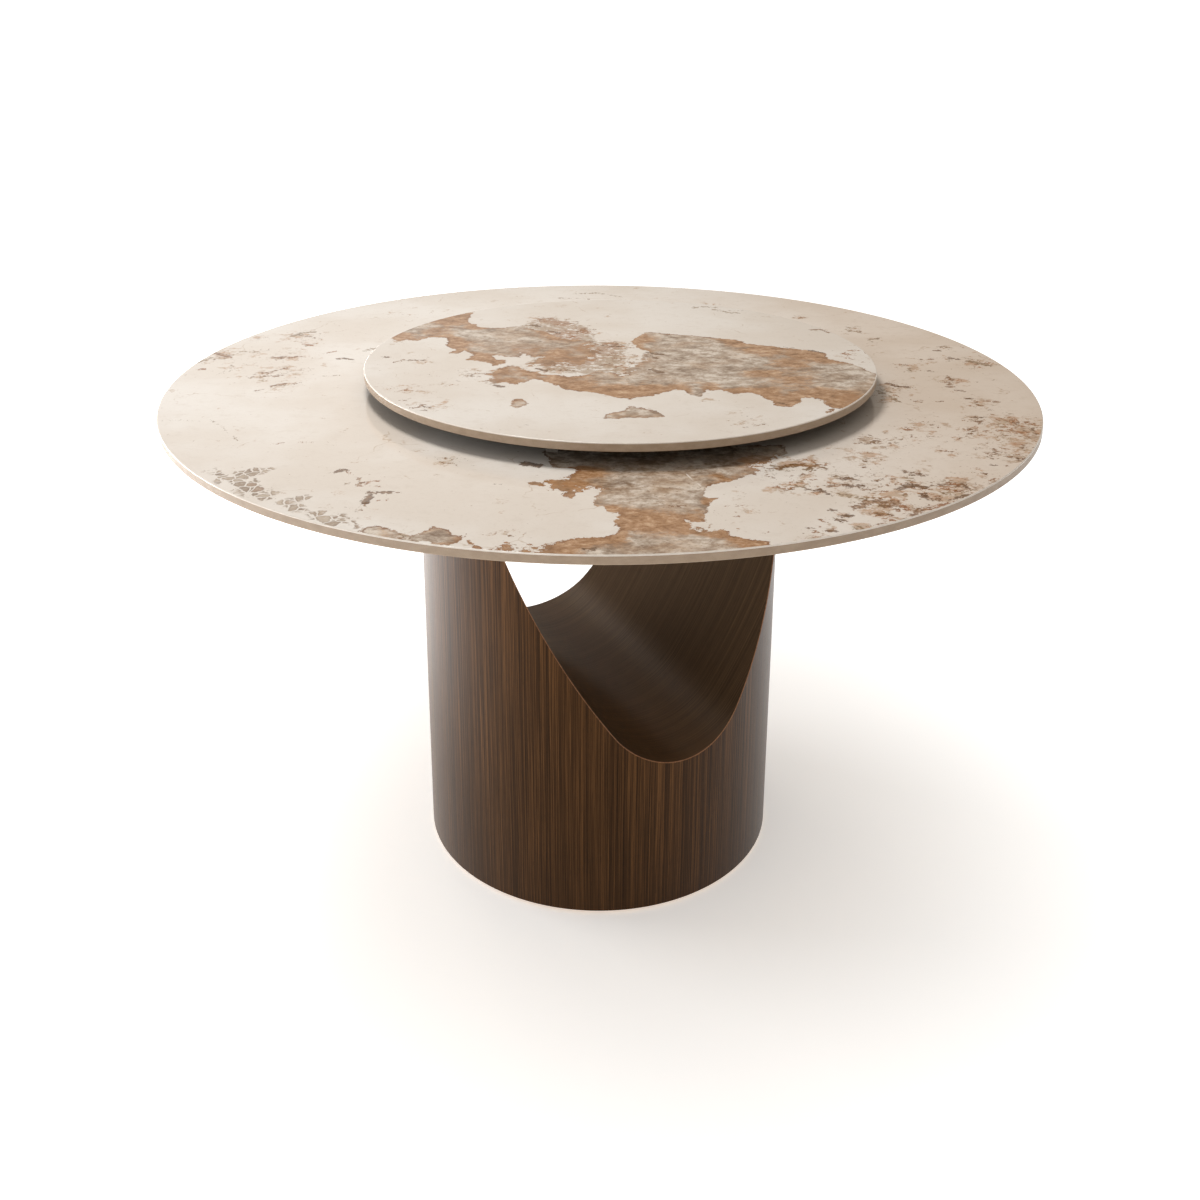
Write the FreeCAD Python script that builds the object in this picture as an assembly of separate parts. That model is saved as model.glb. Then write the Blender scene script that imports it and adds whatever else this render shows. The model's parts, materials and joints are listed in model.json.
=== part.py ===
import FreeCAD, Part
import math
import os

# Round pedestal dining table: a thin round stone top with a stone turntable
# floating on a ball bearing, on a veneered drum base through which one
# U-shaped channel is scooped from the top. Millimetres, +Z up, origin on the
# floor under the middle of the top. The channel runs along Y.

V = FreeCAD.Vector

# ---------------------------------------------------------------- dimensions
TOP_D = 1300.0          # table top diameter
TOP_Z = 760.0           # height of the table top's face
SLAB_T = 12.0           # stone thickness, top and turntable
SLAB_CHAMFER = 1.2

TURN_D = 770.0          # turntable diameter
TURN_TOP_Z = 795.0      # turntable top face
TURN_X = 24.0           # turntable centre: it stands a little off the middle
TURN_Y = -18.7

DRUM_R = 280.0          # outside of the drum
SKIN_T = 8.0            # bent plywood skin with its veneer
DRUM_BOTTOM_Z = 5.0     # shadow gap over the floor
BACKING_T = 18.0
BACKING_R = 480.0
BACKING_BEVEL = 16.0

CH_BOTTOM_Z = 249.2     # lowest line of the channel
CH_R1 = 126.0           # floor radius of the channel
CH_T1 = 0.966           # slope angle where the floor arc ends
CH_R2 = 905.0           # flank radius
CH_Z2 = 580.0           # height where the flank arc ends
CH_R3 = 300.0           # last arc, up to the vertical

BOARD_T = 18.0
RIB_T = 15.0
RIB_Y = {"rib_front": -200.0, "rib_mid_front": -105.0, "rib_centre": 0.0,
         "rib_mid_rear": 105.0, "rib_rear": 200.0}
RIB_TOP_Z = {"rib_front": 330.0, "rib_mid_front": 480.0, "rib_centre": 630.0,
             "rib_mid_rear": 480.0, "rib_rear": 330.0}
LAP_Z = 132.0           # half-lap level of the keel and the cross ribs
BLOCK_Z = 630.0         # underside of the lobe blocks

PLATE_LX = 540.0        # steel bridge plate
PLATE_LY = 160.0
PLATE_T = 6.0
PLATE_CORNER = 20.0
POCKET_GAP = 0.5
BRIDGE_SCREW_X = 260.5
BRIDGE_SCREW_Y = (-35.0, 0.0, 35.0)
BRIDGE_SCREW_D = 5.0
BRIDGE_SCREW_L = 50.0
BRIDGE_SCREW_HEAD = 10.0
BOLT_D = 8.0
BOLT_AT = [(-190.0, -50.0), (-190.0, 50.0), (0.0, -50.0), (0.0, 50.0), (190.0, -50.0), (190.0, 50.0)]
BOLT_HEAD_AF = 13.0
BOLT_HEAD_H = 5.3
WASHER_D = 16.0
WASHER_T = 1.6
INSERT_D = 12.0
INSERT_L = 10.0

GLIDE_N = 6
GLIDE_R = 235.0         # circle of the glides
GLIDE_D = 30.0
GLIDE_H = DRUM_BOTTOM_Z

BALLAST_T = 10.0
BALLAST_X = (20.0, 220.0)
BALLAST_Y = (14.0, 92.0)

FOOT_N = 4              # rubber feet of the bearing
FOOT_H = 3.0
FOOT_D = 24.0
FOOT_R = 128.0
RACE_D = 300.0          # bearing plates
RACE_T = 4.0
TRACK_R = 105.0
TRACK_W = 9.2
TRACK_DEPTH = 1.6
BALL_N = 12
BALL_D = 8.0
RACE_GAP = 5.5          # between the plates
CAGE_T = 2.0
CAGE_W = 24.0
PAD_N = 6               # cushions under the turntable
PAD_D = 40.0
PAD_R = 125.0
STUD_D = 10.0
STUD_HEAD_D = 22.0
BUSH_D = 16.0
BUSH_FLANGE_D = 22.0
BUSH_FLANGE_T = 1.5
BUSH_CLEAR = 0.05       # running clearance, radial

BUMPER_N = 3            # stops near the rim that catch a tilting turntable
BUMPER_R = 365.0
BUMPER_LX = 16.0
BUMPER_LY = 12.0
BUMPER_H = 10.5
BUMPER_A0 = -130.7      # angle of the first one, degrees from +X

# ---------------------------------------------------------------- helpers
nodes = {}


def cyl(r, z0, z1, x=0.0, y=0.0):
    return Part.makeCylinder(r, z1 - z0, V(x, y, z0), V(0, 0, 1))


def cone(r0, r1, z0, z1, x=0.0, y=0.0):
    return Part.makeCone(r0, r1, z1 - z0, V(x, y, z0), V(0, 0, 1))


def box(x0, x1, y0, y1, z0, z1):
    return Part.makeBox(x1 - x0, y1 - y0, z1 - z0, V(x0, y0, z0))


def revolve(points, x=0.0, y=0.0):
    pts = [V(x + r, y, z) for r, z in points]
    wire = Part.makePolygon(pts + [pts[0]])
    return Part.Face(wire).revolve(V(x, y, 0), V(0, 0, 1), 360)


def disc_chamfered(r, z0, z1, c, x=0.0, y=0.0):
    return revolve([(0, z0), (r - c, z0), (r, z0 + c), (r, z1 - c), (r - c, z1), (0, z1)], x, y)


def hexagon(af, z0, z1, x, y):
    r = af / math.sqrt(3.0)
    pts = [V(x + r * math.cos(math.radians(60 * k)), y + r * math.sin(math.radians(60 * k)), z0) for k in range(7)]
    return Part.Face(Part.makePolygon(pts)).extrude(V(0, 0, z1 - z0))


def rounded_plate(lx, ly, r, z0, z1):
    b = box(-lx / 2, lx / 2, -ly / 2, ly / 2, z0, z1)
    edges = [e for e in b.Edges if abs(e.Vertexes[0].Z - e.Vertexes[1].Z) > 0.5]
    return b.makeFillet(r, edges)


def around(n, r, a0=0.0, x=0.0, y=0.0):
    return [(x + r * math.cos(math.radians(a0 + 360.0 * k / n)),
             y + r * math.sin(math.radians(a0 + 360.0 * k / n))) for k in range(n)]


def group(name, solids):
    nodes[name] = Part.makeCompound(solids)


def csk_screw(x, y, z_head, d, length, head_d, up):
    # countersunk screw: flat head at z_head; up is the way the shank points
    h = (head_d - d) / 2.0
    tip = d / 2.0
    if up > 0:
        return revolve([(0, z_head), (head_d / 2, z_head), (d / 2, z_head + h),
                        (d / 2, z_head + length - tip), (0, z_head + length)], x, y)
    return revolve([(0, z_head), (head_d / 2, z_head), (d / 2, z_head - h),
                    (d / 2, z_head - length + tip), (0, z_head - length)], x, y)


# ------------------------------------------------------- the channel's section
def channel_section(d, z_top):
    """Closed face of the channel's inside, grown by d into the base."""
    c1 = (0.0, CH_BOTTOM_Z + CH_R1)

    def at(c, r, t):
        return (c[0] + r * math.sin(t), c[1] - r * math.cos(t))

    p1 = at(c1, CH_R1, CH_T1)
    c2 = (p1[0] - CH_R2 * math.sin(CH_T1), p1[1] + CH_R2 * math.cos(CH_T1))
    t2 = math.acos((c2[1] - CH_Z2) / CH_R2)
    p2 = at(c2, CH_R2, t2)
    c3 = (p2[0] - CH_R3 * math.sin(t2), p2[1] + CH_R3 * math.cos(t2))
    arcs = [(c1, CH_R1 + d, 0.0, CH_T1), (c2, CH_R2 + d, CH_T1, t2), (c3, CH_R3 + d, t2, math.pi / 2)]
    right = []
    for c, r, ta, tb in arcs:
        a, m, b = at(c, r, ta), at(c, r, (ta + tb) / 2), at(c, r, tb)
        right.append((a, m, b))
    edges = []
    for side in (1, -1):
        for a, m, b in right:
            edges.append(Part.Arc(V(side * a[0], 0, a[1]), V(side * m[0], 0, m[1]), V(side * b[0], 0, b[1])).toShape())
        e = right[-1][2]
        edges.append(Part.makeLine(V(side * e[0], 0, e[1]), V(side * e[0], 0, z_top)))
    e = right[-1][2]
    edges.append(Part.makeLine(V(-e[0], 0, z_top), V(e[0], 0, z_top)))
    wire = Part.Wire(Part.__sortEdges__(edges))
    return Part.Face(wire)


def channel(d, z_top):
    f = channel_section(d, z_top)
    f.translate(V(0, -400, 0))
    return f.extrude(V(0, 800, 0))


# ------------------------------------------------------------------ table top
slab_bottom = TOP_Z - SLAB_T
nodes["tabletop_slab"] = disc_chamfered(TOP_D / 2, slab_bottom, TOP_Z, SLAB_CHAMFER)

backing_bottom = slab_bottom - BACKING_T
plate_top = backing_bottom + PLATE_T
backing = revolve([(0, backing_bottom), (BACKING_R - BACKING_BEVEL, backing_bottom), (BACKING_R, backing_bottom + BACKING_BEVEL),
                   (BACKING_R, slab_bottom), (0, slab_bottom)])
backing = backing.cut(rounded_plate(PLATE_LX + 2 * POCKET_GAP, PLATE_LY + 2 * POCKET_GAP, PLATE_CORNER + POCKET_GAP,
                                    backing_bottom, plate_top))
for x, y in BOLT_AT:
    backing = backing.cut(cyl(INSERT_D / 2, plate_top, plate_top + INSERT_L, x, y))
nodes["tabletop_backing"] = backing

group("backing_inserts", [cyl(INSERT_D / 2, plate_top, plate_top + INSERT_L, x, y).cut(
    cyl(BOLT_D / 2, plate_top, plate_top + INSERT_L, x, y)) for x, y in BOLT_AT])

# ------------------------------------------------------------- bridge plate
plate = rounded_plate(PLATE_LX, PLATE_LY, PLATE_CORNER, backing_bottom, plate_top)
bridge_at = [(s * BRIDGE_SCREW_X, y) for s in (-1, 1) for y in BRIDGE_SCREW_Y]
for x, y in BOLT_AT:
    plate = plate.cut(cyl(BOLT_D / 2 + 0.5, backing_bottom, plate_top, x, y))
screw_cut = [csk_screw(x, y, plate_top, BRIDGE_SCREW_D, BRIDGE_SCREW_L, BRIDGE_SCREW_HEAD, -1) for x, y in bridge_at]
for s in screw_cut:
    plate = plate.cut(s)
nodes["bridge_plate"] = plate
group("bridge_screws", screw_cut)

group("top_washers", [cyl(WASHER_D / 2, backing_bottom - WASHER_T, backing_bottom, x, y).cut(
    cyl(BOLT_D / 2 + 0.2, backing_bottom - WASHER_T, backing_bottom, x, y)) for x, y in BOLT_AT])
bolts = []
for x, y in BOLT_AT:
    z = backing_bottom - WASHER_T
    bolts.append(hexagon(BOLT_HEAD_AF, z - BOLT_HEAD_H, z, x, y).fuse(
        cyl(BOLT_D / 2, z, plate_top + INSERT_L - 1.0, x, y)).removeSplitter())
group("top_bolts", bolts)

# ----------------------------------------------------------------- drum base
drum_top = backing_bottom
inner_r = DRUM_R - SKIN_T
over = channel(0.0, drum_top + 60.0)
over_skin = channel(SKIN_T, drum_top + 60.0)

shell = cyl(DRUM_R, DRUM_BOTTOM_Z, drum_top).cut(cyl(inner_r, DRUM_BOTTOM_Z, drum_top))
nodes["drum_shell"] = shell.cut(over)

core = cyl(inner_r, DRUM_BOTTOM_Z, drum_top)
nodes["saddle_panel"] = core.common(over_skin).cut(over)

board_top = DRUM_BOTTOM_Z + BOARD_T
base_screw_at = []
for name, y in RIB_Y.items():
    base_screw_at += [(s * (100.0 if abs(y) > 150 else 150.0), y) for s in (-1, 1)]
base_screws = [csk_screw(x, y, DRUM_BOTTOM_Z, 4.5, 45.0, 9.0, 1) for x, y in base_screw_at]
ballast_at = []
for sx in (-1, 1):
    for sy in (-1, 1):
        ballast_at.append((sx, sy))
ballast_screw_at = [(sx * x, sy * (BALLAST_Y[0] + BALLAST_Y[1]) / 2) for sx, sy in ballast_at for x in (45.0, 195.0)]
ballast_screws = [csk_screw(x, y, board_top + BALLAST_T, 5.0, 25.0, 10.0, -1) for x, y in ballast_screw_at]
glide_at = around(GLIDE_N, GLIDE_R, 30.0)
glide_screws = []
for x, y in glide_at:
    glide_screws.append(csk_screw(x, y, 1.2, 4.0, 16.0, 8.0, 1))

board = cyl(inner_r, DRUM_BOTTOM_Z, board_top)
for s in base_screws + ballast_screws + glide_screws:
    board = board.cut(s)
nodes["base_board"] = board

lobes = core.cut(over_skin)
for name, sx in (("left_lobe_block", -1), ("right_lobe_block", 1)):
    half = box(min(0, sx * 400), max(0, sx * 400), -400, 400, BLOCK_Z, drum_top)
    blk = lobes.common(half)
    for s in screw_cut:
        blk = blk.cut(s)
    nodes[name] = blk

for name, y in RIB_Y.items():
    rib = lobes.common(box(-400, 400, y - RIB_T / 2, y + RIB_T / 2, board_top, RIB_TOP_Z[name]))
    rib = rib.cut(box(-RIB_T / 2, RIB_T / 2, y - RIB_T, y + RIB_T, board_top - 1, LAP_Z))
    for s in base_screws:
        rib = rib.cut(s)
    nodes[name] = rib

keel = lobes.common(box(-RIB_T / 2, RIB_T / 2, -400, 400, board_top, 400.0))
for y in RIB_Y.values():
    keel = keel.cut(box(-RIB_T, RIB_T, y - RIB_T / 2, y + RIB_T / 2, LAP_Z, 400.0))
nodes["keel_rib"] = keel

plates = []
for sx, sy in ballast_at:
    xs = sorted((sx * BALLAST_X[0], sx * BALLAST_X[1]))
    ys = sorted((sy * BALLAST_Y[0], sy * BALLAST_Y[1]))
    p = box(xs[0], xs[1], ys[0], ys[1], board_top, board_top + BALLAST_T)
    for s in ballast_screws:
        p = p.cut(s)
    plates.append(p)
group("ballast_plates", plates)
group("ballast_screws", ballast_screws)
group("base_screws", base_screws)

glides = []
for (x, y), s in zip(glide_at, glide_screws):
    g = revolve([(0, 0), (GLIDE_D / 2 - 1, 0), (GLIDE_D / 2, 1), (GLIDE_D / 2, GLIDE_H), (0, GLIDE_H)], x, y)
    g = g.cut(cyl(4.5, 0, 1.2, x, y)).cut(s)
    glides.append(g)
group("floor_glides", glides)
group("glide_screws", glide_screws)

# ------------------------------------------------------------------ turntable
turn_bottom = TURN_TOP_Z - SLAB_T
nodes["turntable_slab"] = disc_chamfered(TURN_D / 2, turn_bottom, TURN_TOP_Z, SLAB_CHAMFER, TURN_X, TURN_Y)

low_z0 = TOP_Z + FOOT_H
low_z1 = low_z0 + RACE_T
up_z0 = low_z1 + RACE_GAP
up_z1 = up_z0 + RACE_T
ball_z = (low_z1 + up_z0) / 2.0

group("turntable_feet", [disc_chamfered(FOOT_D / 2, TOP_Z, low_z0, 0.6, x, y) for x, y in around(FOOT_N, FOOT_R, 45.0, TURN_X, TURN_Y)])

lower = disc_chamfered(RACE_D / 2, low_z0, low_z1, 0.6, TURN_X, TURN_Y)
lower = lower.cut(cyl(TRACK_R + TRACK_W / 2, low_z1 - TRACK_DEPTH, low_z1, TURN_X, TURN_Y).cut(
    cyl(TRACK_R - TRACK_W / 2, low_z1 - TRACK_DEPTH, low_z1, TURN_X, TURN_Y)))
lower = lower.cut(cyl(STUD_D / 2, low_z0, low_z1, TURN_X, TURN_Y))
nodes["bearing_lower_plate"] = lower

upper = disc_chamfered(RACE_D / 2, up_z0, up_z1, 0.6, TURN_X, TURN_Y)
upper = upper.cut(cyl(TRACK_R + TRACK_W / 2, up_z0, up_z0 + TRACK_DEPTH, TURN_X, TURN_Y).cut(
    cyl(TRACK_R - TRACK_W / 2, up_z0, up_z0 + TRACK_DEPTH, TURN_X, TURN_Y)))
upper = upper.cut(cyl(BUSH_D / 2, up_z0, up_z1, TURN_X, TURN_Y))
nodes["bearing_upper_plate"] = upper

bush_bore = STUD_D / 2 + BUSH_CLEAR
bush = cyl(BUSH_D / 2, up_z0, up_z1, TURN_X, TURN_Y).fuse(
    cyl(BUSH_FLANGE_D / 2, up_z1, up_z1 + BUSH_FLANGE_T, TURN_X, TURN_Y)).removeSplitter()
nodes["pivot_bush"] = bush.cut(cyl(bush_bore, up_z0 - 1, up_z1 + 5, TURN_X, TURN_Y))

washer_z = up_z1 + BUSH_FLANGE_T + 0.3
nut_z = washer_z + 1.0
nut_h = turn_bottom - 0.8 - nut_z
nodes["pivot_stud"] = cyl(STUD_HEAD_D / 2, TOP_Z + 0.8, low_z0, TURN_X, TURN_Y).fuse(
    cyl(STUD_D / 2, low_z0, nut_z + nut_h, TURN_X, TURN_Y)).removeSplitter()
nodes["pivot_washer"] = cyl(10.0, washer_z, nut_z, TURN_X, TURN_Y).cut(cyl(STUD_D / 2, washer_z, nut_z, TURN_X, TURN_Y))
nodes["pivot_nut"] = hexagon(16.0, nut_z, nut_z + nut_h, TURN_X, TURN_Y).cut(
    cyl(STUD_D / 2, nut_z, nut_z + nut_h, TURN_X, TURN_Y))

ball_at = around(BALL_N, TRACK_R, 0.0, TURN_X, TURN_Y)
cage = cyl(TRACK_R + CAGE_W / 2, ball_z - CAGE_T / 2, ball_z + CAGE_T / 2, TURN_X, TURN_Y).cut(
    cyl(TRACK_R - CAGE_W / 2, ball_z - CAGE_T / 2, ball_z + CAGE_T / 2, TURN_X, TURN_Y))
for x, y in ball_at:
    cage = cage.cut(cyl(BALL_D / 2 + 0.15, ball_z - CAGE_T, ball_z + CAGE_T, x, y))
nodes["ball_cage"] = cage
group("bearing_balls", [Part.makeSphere(BALL_D / 2, V(x, y, ball_z)) for x, y in ball_at])

group("turntable_pads", [disc_chamfered(PAD_D / 2, up_z1, turn_bottom, 0.8, x, y) for x, y in around(PAD_N, PAD_R, 0.0, TURN_X, TURN_Y)])

bumpers = []
for k in range(BUMPER_N):
    b = box(-BUMPER_LX / 2, BUMPER_LX / 2, -BUMPER_LY / 2, BUMPER_LY / 2, turn_bottom - BUMPER_H, turn_bottom)
    low = [e for e in b.Edges if e.BoundBox.ZMax < turn_bottom - BUMPER_H + 0.1]
    b = b.makeChamfer(1.5, low)
    a = BUMPER_A0 + 360.0 * k / BUMPER_N
    b.rotate(V(0, 0, 0), V(0, 0, 1), a + 90.0)
    b.translate(V(TURN_X + BUMPER_R * math.cos(math.radians(a)), TURN_Y + BUMPER_R * math.sin(math.radians(a)), 0))
    bumpers.append(b)
group("tilt_bumpers", bumpers)

# --------------------------------------------------------------------- export
os.makedirs("parts", exist_ok=True)
for name, shape in nodes.items():
    solids = shape.Solids
    shape = solids[0] if len(solids) == 1 else Part.makeCompound(solids)
    bb = shape.BoundBox
    print("%-22s solids %2d valid %s vol %.1f cm3  z %.2f..%.2f" % (name, len(solids), shape.isValid(), shape.Volume / 1000.0, bb.ZMin, bb.ZMax))
    shape.exportStep("parts/%s.step" % name)
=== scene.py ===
import json
import math
import bpy
import numpy as np
from mathutils import Matrix, Vector


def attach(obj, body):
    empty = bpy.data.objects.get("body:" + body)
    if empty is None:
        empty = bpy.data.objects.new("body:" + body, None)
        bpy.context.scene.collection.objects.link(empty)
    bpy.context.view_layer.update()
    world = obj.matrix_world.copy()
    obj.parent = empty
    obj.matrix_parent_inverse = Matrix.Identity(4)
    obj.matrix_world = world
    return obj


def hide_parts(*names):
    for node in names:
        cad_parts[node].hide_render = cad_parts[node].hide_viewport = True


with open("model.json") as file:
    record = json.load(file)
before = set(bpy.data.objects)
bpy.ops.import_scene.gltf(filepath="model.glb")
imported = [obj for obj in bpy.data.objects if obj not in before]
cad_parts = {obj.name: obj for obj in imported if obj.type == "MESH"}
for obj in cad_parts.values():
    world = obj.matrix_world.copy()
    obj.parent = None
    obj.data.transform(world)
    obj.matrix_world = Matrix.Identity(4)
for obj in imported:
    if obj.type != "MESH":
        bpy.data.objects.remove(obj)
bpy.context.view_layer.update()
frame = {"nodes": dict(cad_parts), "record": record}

# ------------------------------------------------------------------ dimensions (metres)
TOP_R, TOP_Z, SLAB_T = 0.650, 0.760, 0.012
TURN_R, TURN_Z, TURN_X, TURN_Y = 0.385, 0.795, 0.024, -0.0187
DRUM_R, SKIN, DRUM_Z0, DRUM_Z1 = 0.280, 0.008, 0.005, 0.730
CH_Z0, CH_R1, CH_T1, CH_R2, CH_Z2, CH_R3 = 0.2492, 0.126, 0.966, 0.905, 0.580, 0.300
VIEW = math.radians(26.535)      # the viewer stands this far round from -Y, towards -X

# ------------------------------------------------------------------ stone figure
# Outlines of the stone's mineral patches, in millimetres in the table's own frame.
TURN = {
    'band': [(-256,256),(-202,342),(-123,391),(-54,386),(-73,347),(-93,316),(-103,294),(-101,274),(-91,273),(-102,256),(-87,240),(-68,227),(-53,230),(-31,223),(-24,199),(-12,169),(-11,133),(2,114),(21,103),(23,72),(11,33),(-5,6),(-21,-8),(-45,-17),(-67,-14),(-87,-14),(-96,3),(-113,3),(-116,14),(-94,27),(-80,40),(-91,47),(-98,67),(-110,56),(-127,62),(-136,80),(-147,79),(-148,59),(-139,51),(-139,39),(-157,27),(-166,28),(-163,43),(-179,66),(-189,75),(-171,94),(-174,124),(-189,113),(-199,122),(-182,132),(-187,148),(-188,171),(-175,194),(-176,212),(-197,225),(-219,213),(-234,228),(-247,224)],
    'sweep': [(-209,-37),(-193,-21),(-169,7),(-142,20),(-130,9),(-126,-14),(-118,-27),(-115,-45),(-99,-58),(-88,-72),(-59,-75),(-34,-63),(-21,-84),(-16,-101),(-1,-98),(6,-70),(27,-59),(56,-52),(60,-26),(82,-3),(79,27),(84,59),(102,76),(131,100),(140,99),(162,78),(195,48),(224,12),(244,-4),(245,-30),(252,-40),(272,-60),(293,-84),(311,-107),(322,-130),(312,-161),(316,-174),(323,-191),(326,-214),(326,-232),(325,-258),(333,-274),(287,-320),(235,-359),(195,-384),(186,-372),(175,-363),(168,-353),(176,-335),(180,-319),(172,-309),(163,-306),(142,-323),(126,-333),(114,-330),(106,-320),(113,-300),(111,-281),(111,-254),(97,-249),(87,-253),(82,-240),(79,-224),(66,-224),(61,-216),(36,-238),(28,-228),(30,-205),(20,-196),(9,-195),(-8,-206),(-22,-206),(-37,-201),(-49,-204),(-59,-211),(-62,-202),(-77,-182),(-87,-160),(-105,-142),(-121,-125),(-124,-96),(-129,-71),(-138,-60),(-152,-69),(-172,-71),(-183,-59),(-199,-53)],
    'wedge': [(-128,-265),(-115,-252),(-104,-250),(-92,-248),(-72,-236),(-61,-247),(-54,-259),(-51,-277),(-47,-297),(-63,-295),(-82,-285),(-101,-276),(-114,-271)],
    'oval': [(-209,-145),(-197,-133),(-191,-140),(-189,-154),(-189,-167),(-200,-170),(-210,-179),(-215,-169)],
    'chip': [(151,-370),(163,-363),(171,-362),(162,-372),(152,-375)],
}
TABLE = {
    'front': [(-211,-254),(-183,-257),(89,-377),(68,-405),(45,-412),(26,-424),(12,-422),(-5,-447),(-31,-454),(-55,-457),(-77,-456),(-92,-472),(-105,-489),(-91,-498),(-108,-505),(-125,-527),(-143,-552),(-154,-545),(-160,-534),(-162,-560),(-153,-571),(-131,-585),(-115,-585),(-141,-590),(-130,-606),(-117,-620),(-107,-632),(-113,-639),(-130,-640),(-151,-663),(-258,-646),(-351,-594),(-372,-555),(-359,-531),(-342,-536),(-327,-533),(-310,-530),(-297,-529),(-280,-533),(-266,-542),(-253,-538),(-235,-528),(-238,-518),(-232,-504),(-217,-492),(-228,-477),(-226,-465),(-235,-453),(-224,-439),(-213,-422),(-199,-411),(-214,-398),(-222,-400),(-235,-412),(-248,-429),(-250,-401),(-257,-388),(-256,-364),(-249,-353),(-230,-358),(-208,-349),(-198,-336),(-226,-318)],
    'spur': [(-370,-529),(-365,-507),(-372,-506),(-385,-519),(-397,-515),(-400,-493),(-403,-484),(-406,-517),(-394,-544),(-372,-548)],
    'chunk': [(-450,-447),(-436,-437),(-423,-430),(-416,-439),(-412,-453),(-409,-467),(-396,-467),(-406,-476),(-414,-484),(-427,-486),(-439,-478),(-447,-464)],
    'lens': [(-280,-351),(-271,-350),(-261,-358),(-256,-365),(-264,-366),(-275,-360)],
    'smear': [(-545,-333),(-535,-331),(-521,-341),(-498,-351),(-491,-369),(-495,-391),(-515,-388),(-529,-370),(-544,-350)],
    'shore': [(-504,-406),(-492,-400),(-481,-402),(-466,-425),(-453,-444),(-434,-447),(-433,-474),(-467,-457),(-490,-436)],
    'east1': [(393,-411),(426,-415),(456,-425),(479,-442),(408,-514),(386,-505),(373,-483),(361,-461),(353,-448),(381,-447),(403,-439),(391,-425)],
    'east2': [(316,-486),(339,-487),(354,-503),(360,-529),(344,-558),(327,-548),(314,-537),(306,-522),(307,-508)],
    'pebbleA': [(-624,-148),(-608,-136),(-593,-157),(-577,-152),(-558,-154),(-542,-169),(-557,-185),(-571,-187),(-568,-206),(-560,-215),(-556,-242),(-553,-264),(-566,-270),(-583,-265),(-597,-252),(-604,-221),(-602,-191),(-616,-200),(-620,-166)],
    'pebbleB': [(-579,-295),(-567,-282),(-550,-272),(-524,-274),(-524,-285),(-541,-292),(-540,-305),(-540,-323),(-557,-324),(-573,-306)],
}
TURN_MARKS = [
    ([(-296,146),(-292,142)],3,3),
    ([(-291,112),(-280,112)],2,1),
    ([(-278,116),(-268,127)],2,1),
    ([(-267,109),(-262,108)],3,3),
    ([(-258,104),(-249,100)],3,3),
    ([(-272,20),(-265,17)],2.5,0),
    ([(-361,-5),(-359,-8)],2,3),
    ([(-358,12),(-341,-1)],1.4,1),
    ([(-344,-36),(-331,-33),(-320,-29),(-312,-38)],2.4,2),
    ([(-345,-75),(-326,-71)],1.7,1),
    ([(-343,-113),(-332,-115),(-322,-107)],2.2,1),
    ([(-332,-129),(-329,-130)],2.7,3),
    ([(-321,-118),(-316,-121)],2.2,3),
    ([(-15,223),(-8,210)],5,3),
    ([(3,243),(18,259),(29,258),(35,245)],3,1),
    ([(24,208),(39,213),(51,204)],3.5,1),
    ([(36,152),(50,164),(59,166)],5,1),
    ([(43,155),(41,138)],4,2),
    ([(-5,176),(3,159)],3.5,3),
    ([(7,124),(17,128)],5,2),
    ([(28,85),(28,62),(58,55)],4,1),
    ([(33,59),(52,42)],3,3),
    ([(-213,4),(-199,2),(-194,-6)],3,1),
    ([(-210,-7),(-201,-17)],2,1),
    ([(-202,-61),(-193,-77)],3.5,3),
    ([(-89,-36),(-74,-41),(-65,-53)],3,1),
    ([(-112,-15),(-105,-29)],3,3),
    ([(18,5),(30,16)],2,1),
    ([(6,-31),(20,-28)],2.5,1),
    ([(-19,-40),(-5,-41),(4,-51)],4,1),
    ([(-39,194),(-19,197)],3,0),
    ([(-3,-56),(7,-55)],3.5,2),
    ([(16,-16),(38,-10)],2,2),
    ([(48,46),(59,43)],3,2),
    ([(63,32),(72,25)],3,2),
    ([(349,-143),(366,-134),(375,-135),(384,-146),(382,-159)],3,2),
    ([(345,-146),(349,-152)],4,2),
    ([(350,-155),(335,-180)],1.4,2),
    ([(356,-180),(342,-206)],1.4,2),
    ([(19,-376),(26,-382),(39,-378),(57,-377)],2,1),
    ([(32,-347),(37,-357)],1.5,1),
    ([(20,-361),(28,-361)],1.4,1),
    ([(43,-360),(50,-351)],1.4,1),
    ([(78,-10),(85,-18),(92,-25)],5,3),
    ([(40,-94),(43,-103),(44,-112)],6,3),
    ([(72,-27),(74,-44)],3,3),
    ([(312,-108),(322,-127)],3,3),
    ([(287,-76),(297,-83)],2.5,3),
    ([(118,-302),(123,-323)],3,3),
    ([(72,-207),(88,-219)],3,1),
    ([(292,213),(308,215),(323,198)],5,0),
    ([(316,187),(327,157),(342,146)],4,0),
    ([(335,170),(363,153)],2,1),
    ([(387,-4),(403,-6),(403,-31)],4,1),
]
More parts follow.
